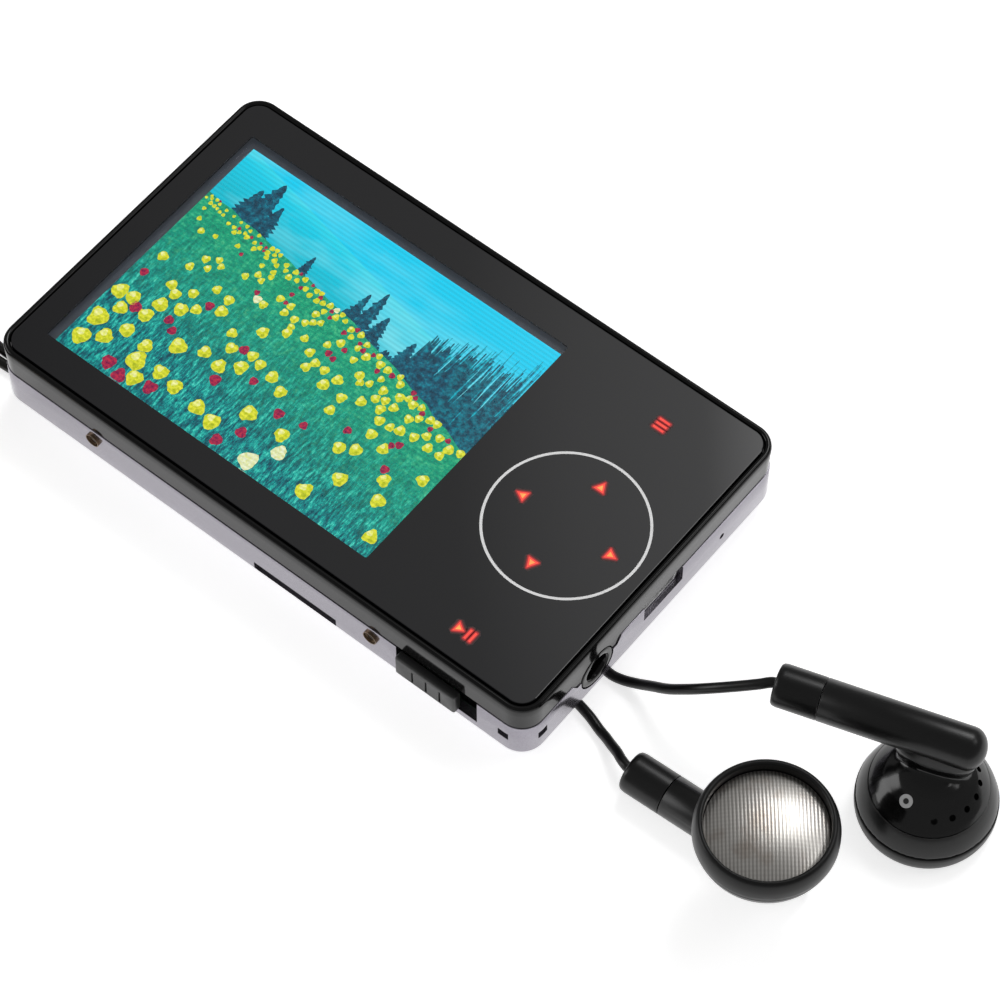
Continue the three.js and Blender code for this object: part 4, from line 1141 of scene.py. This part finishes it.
def make_back(side, place, along):
    """The dome with its neck, melted together, then the stem, the vents and the glossy crown."""
    back = build(f"{side}_ear_back", lathe(DOME), place)
    neck = [(cos(a), sin(a)) for a in (radians(t) for t in range(-80, 81, 10))]
    neck_place = place @ Matrix.Translation((-0.2, 1.58, -10.4)) @ Matrix.Diagonal((4.8, 2.5, 3.4, 1))
    boolean(back, "UNION", (lathe([(0, -1), *neck, (0, 1)], 48), neck_place))
    remesh = back.modifiers.new("remesh", "REMESH")
    remesh.mode = "VOXEL"
    remesh.voxel_size = 0.2 * MM
    remesh.use_smooth_shade = True
    smooth = back.modifiers.new("smooth", "SMOOTH")
    smooth.factor = 0.5
    smooth.iterations = 8
    bake(back)
    end = [(STEM_R * cos(a), 3.3 + 2.1 * sin(a)) for a in (pi * i / 20 for i in range(10))]
    stem = [(0, -14.1), (2.55, -14.1), (STEM_R, -14.05), *end, (0, 5.4)]
    boolean(back, "UNION", (lathe(stem), along))
    hollow = lathe([(0, -7.6), (4.2, -7.1), (6.0, -5.8), (6.9, -4.4), (6.9, 1), (0, 1)], 48)
    groove = lathe([(6.93, -6.16), (7.6, -6.16), (7.6, -6.0), (6.93, -6.0)])
    vents = [(rod(0.4, 1.5, 24), on_dome(place, r, a, -0.9)) for r, a in VENTS]
    boolean(back, "DIFFERENCE", (hollow, place), (groove, place), *vents)
    finish_piece(back, BUD_SATIN, f"{side}_bud_back", sharp=50)
    back.data.materials.append(BUD_GLOSS)
    inverse = place.inverted()
    for face in back.data.polygons:
        spot = inverse @ (face.center / MM)
        if -11.0 < spot.z < -6.08 and hypot(spot.x, spot.y) < 7.1:
            face.material_index = 1


def make_bud(side, place):
    along = place @ Matrix.Translation((0, STEM_Y, STEM_Z)) @ ALONG_X
    make_back(side, place, along)
    cap = [
        (0, -19.7), (2.05, -19.7), (2.32, -19.64), (2.5, -19.45), (2.58, -19.1), (STEM_R, -18.8),
        (STEM_R, -14.24), (2.56, -14.2), (0, -14.2),
    ]
    made = build(f"{side}_cap", lathe(cap), along)
    boolean(made, "DIFFERENCE", (rod(0.75, 4.2, 32), along @ Matrix.Translation((0, 0, -20.7))))
    finish_piece(made, BUD_SATIN, f"{side}_stem_cap", sharp=40)
    piece(f"{side}_soft_rim", lathe(RIM, 128), BUD_RUBBER, f"{side}_bud_rim", place=place, sharp=60)
    radii = (0.8, 1.6, 2.4, 3.2, 4.0, 4.8, 5.6, 6.3, 6.8, GRILLE_R)
    top = [(r, -0.35 - 1.1 * (r / GRILLE_R) ** 2.2) for r in radii]
    grille = lathe([(0, -0.35), *top, (GRILLE_R, -1.9), (4.8, -1.5), (2.4, -1.2), (0, -1.1)], 128)
    mesh = piece(f"{side}_mesh", grille, GRILLE, f"{side}_bud_grille", place=place, sharp=40)


def make_badge():
    place = on_dome(RIGHT_BUD, *BADGE_SPOT, -0.02)
    piece("right_badge", rod(0.8, 0.06, 48), BADGE, place=place)
    piece("right_badge_dot", rod(0.34, 0.08, 32), MATT_BLACK, place=place)


make_bezel()
make_rear_shell()
make_window()
make_screws()
make_switch()
make_jack()
make_usb()
make_mask()
make_ring()
make_marks()
make_picture()
make_bud("left", LEFT_BUD)
make_bud("right", RIGHT_BUD)
make_badge()

# ---- CAD nodes that stay
INSIDE = {
    STEEL: ["mid_frame", "crystal", "card_socket", "microphone", "left_bud_driver", "right_bud_driver"],
    MATT_BLACK: ["headphone_socket", "switch_slider", "switch_housing"],
    BOARD: ["touch_board", "main_board"],
    CHIP: ["processor_chip", "memory_chip"],
    FILM: ["touch_film", "lcd_flex"],
    FOIL: ["lcd_backlight", "battery"],
    FOAM: ["battery_pad"],
    LEAD: ["battery_lead_black"],
    RED_WIRE: ["battery_lead_red"],
    WHITE_PLASTIC: ["light_guide", *[f"mark_led_{i}" for i in range(1, 7)]],
}
for material, nodes in INSIDE.items():
    for node in nodes:
        mesh = bpy.data.objects[node].data
        mesh.materials.clear()
        mesh.materials.append(material)


# ---- floor and light
FLOOR_REACH = 3.0
# Light from all round by the cosine of the angle to the softbox that the window and the grilles mirror.
SOFTBOX = Vector((-0.12, 0.57, 0.81)).normalized()
SURROUND = [
    (-1.0, 0.3), (0.3, 0.3), (0.922, 0.24), (0.9426, 0.38), (0.9605, 0.44), (0.9665, 0.72), (0.978, 1.0),
    (0.984, 3.0), (0.992, 8.0),
]
BRIGHTEST = SURROUND[-1][1]


def add_floor():
    mesh = bpy.data.meshes.new("floor")
    corners = bar(-FLOOR_REACH, FLOOR_REACH, -FLOOR_REACH, FLOOR_REACH)
    height = cad_box[0][2] - 0.00002
    mesh.from_pydata([(x, y, height) for x, y in corners], [], [(0, 1, 2, 3)])
    floor = new_object("floor", mesh)
    g = new_graph("floor_white")
    g.set(Base_Color=0.9, Roughness=0.9, Specular_IOR_Level=0.0)
    g.set(Emission_Color=1.0, Emission_Strength=0.68)
    mesh.materials.append(g.owner)


def add_light(name, place, target, size, watts):
    data = bpy.data.lights.new(name, "AREA")
    data.shape = "RECTANGLE"
    data.size = data.size_y = size
    data.energy = watts
    light = new_object(name, data)
    light.location = place
    light.rotation_euler = (Vector(target) - Vector(place)).to_track_quat("-Z", "Y").to_euler()


def add_world():
    world = bpy.data.worlds.new("studio")
    g = Graph(world, "Background")
    direction = g.node("ShaderNodeTexCoord").outputs["Generated"]
    towards = g.node("ShaderNodeVectorMath", {0: direction, 1: SOFTBOX}, operation="DOT_PRODUCT")
    share = g.math("MULTIPLY_ADD", towards.outputs["Value"], 0.5, 0.5)
    stops = [((cosine + 1) / 2, level / BRIGHTEST) for cosine, level in SURROUND]
    g.set(Color=g.ramp(share, *stops), Strength=BRIGHTEST)
    bpy.context.scene.world = world


add_floor()
add_world()
add_light("key", (0.5, 0.5, 0.8), (0.02, 0.0, 0.0), 0.35, 0.9)
add_light("fill", (-0.6, -0.36, 0.24), (0.06, 0.0, 0.0), 0.4, 1.6)
bpy.context.scene.view_settings.view_transform = "Standard"
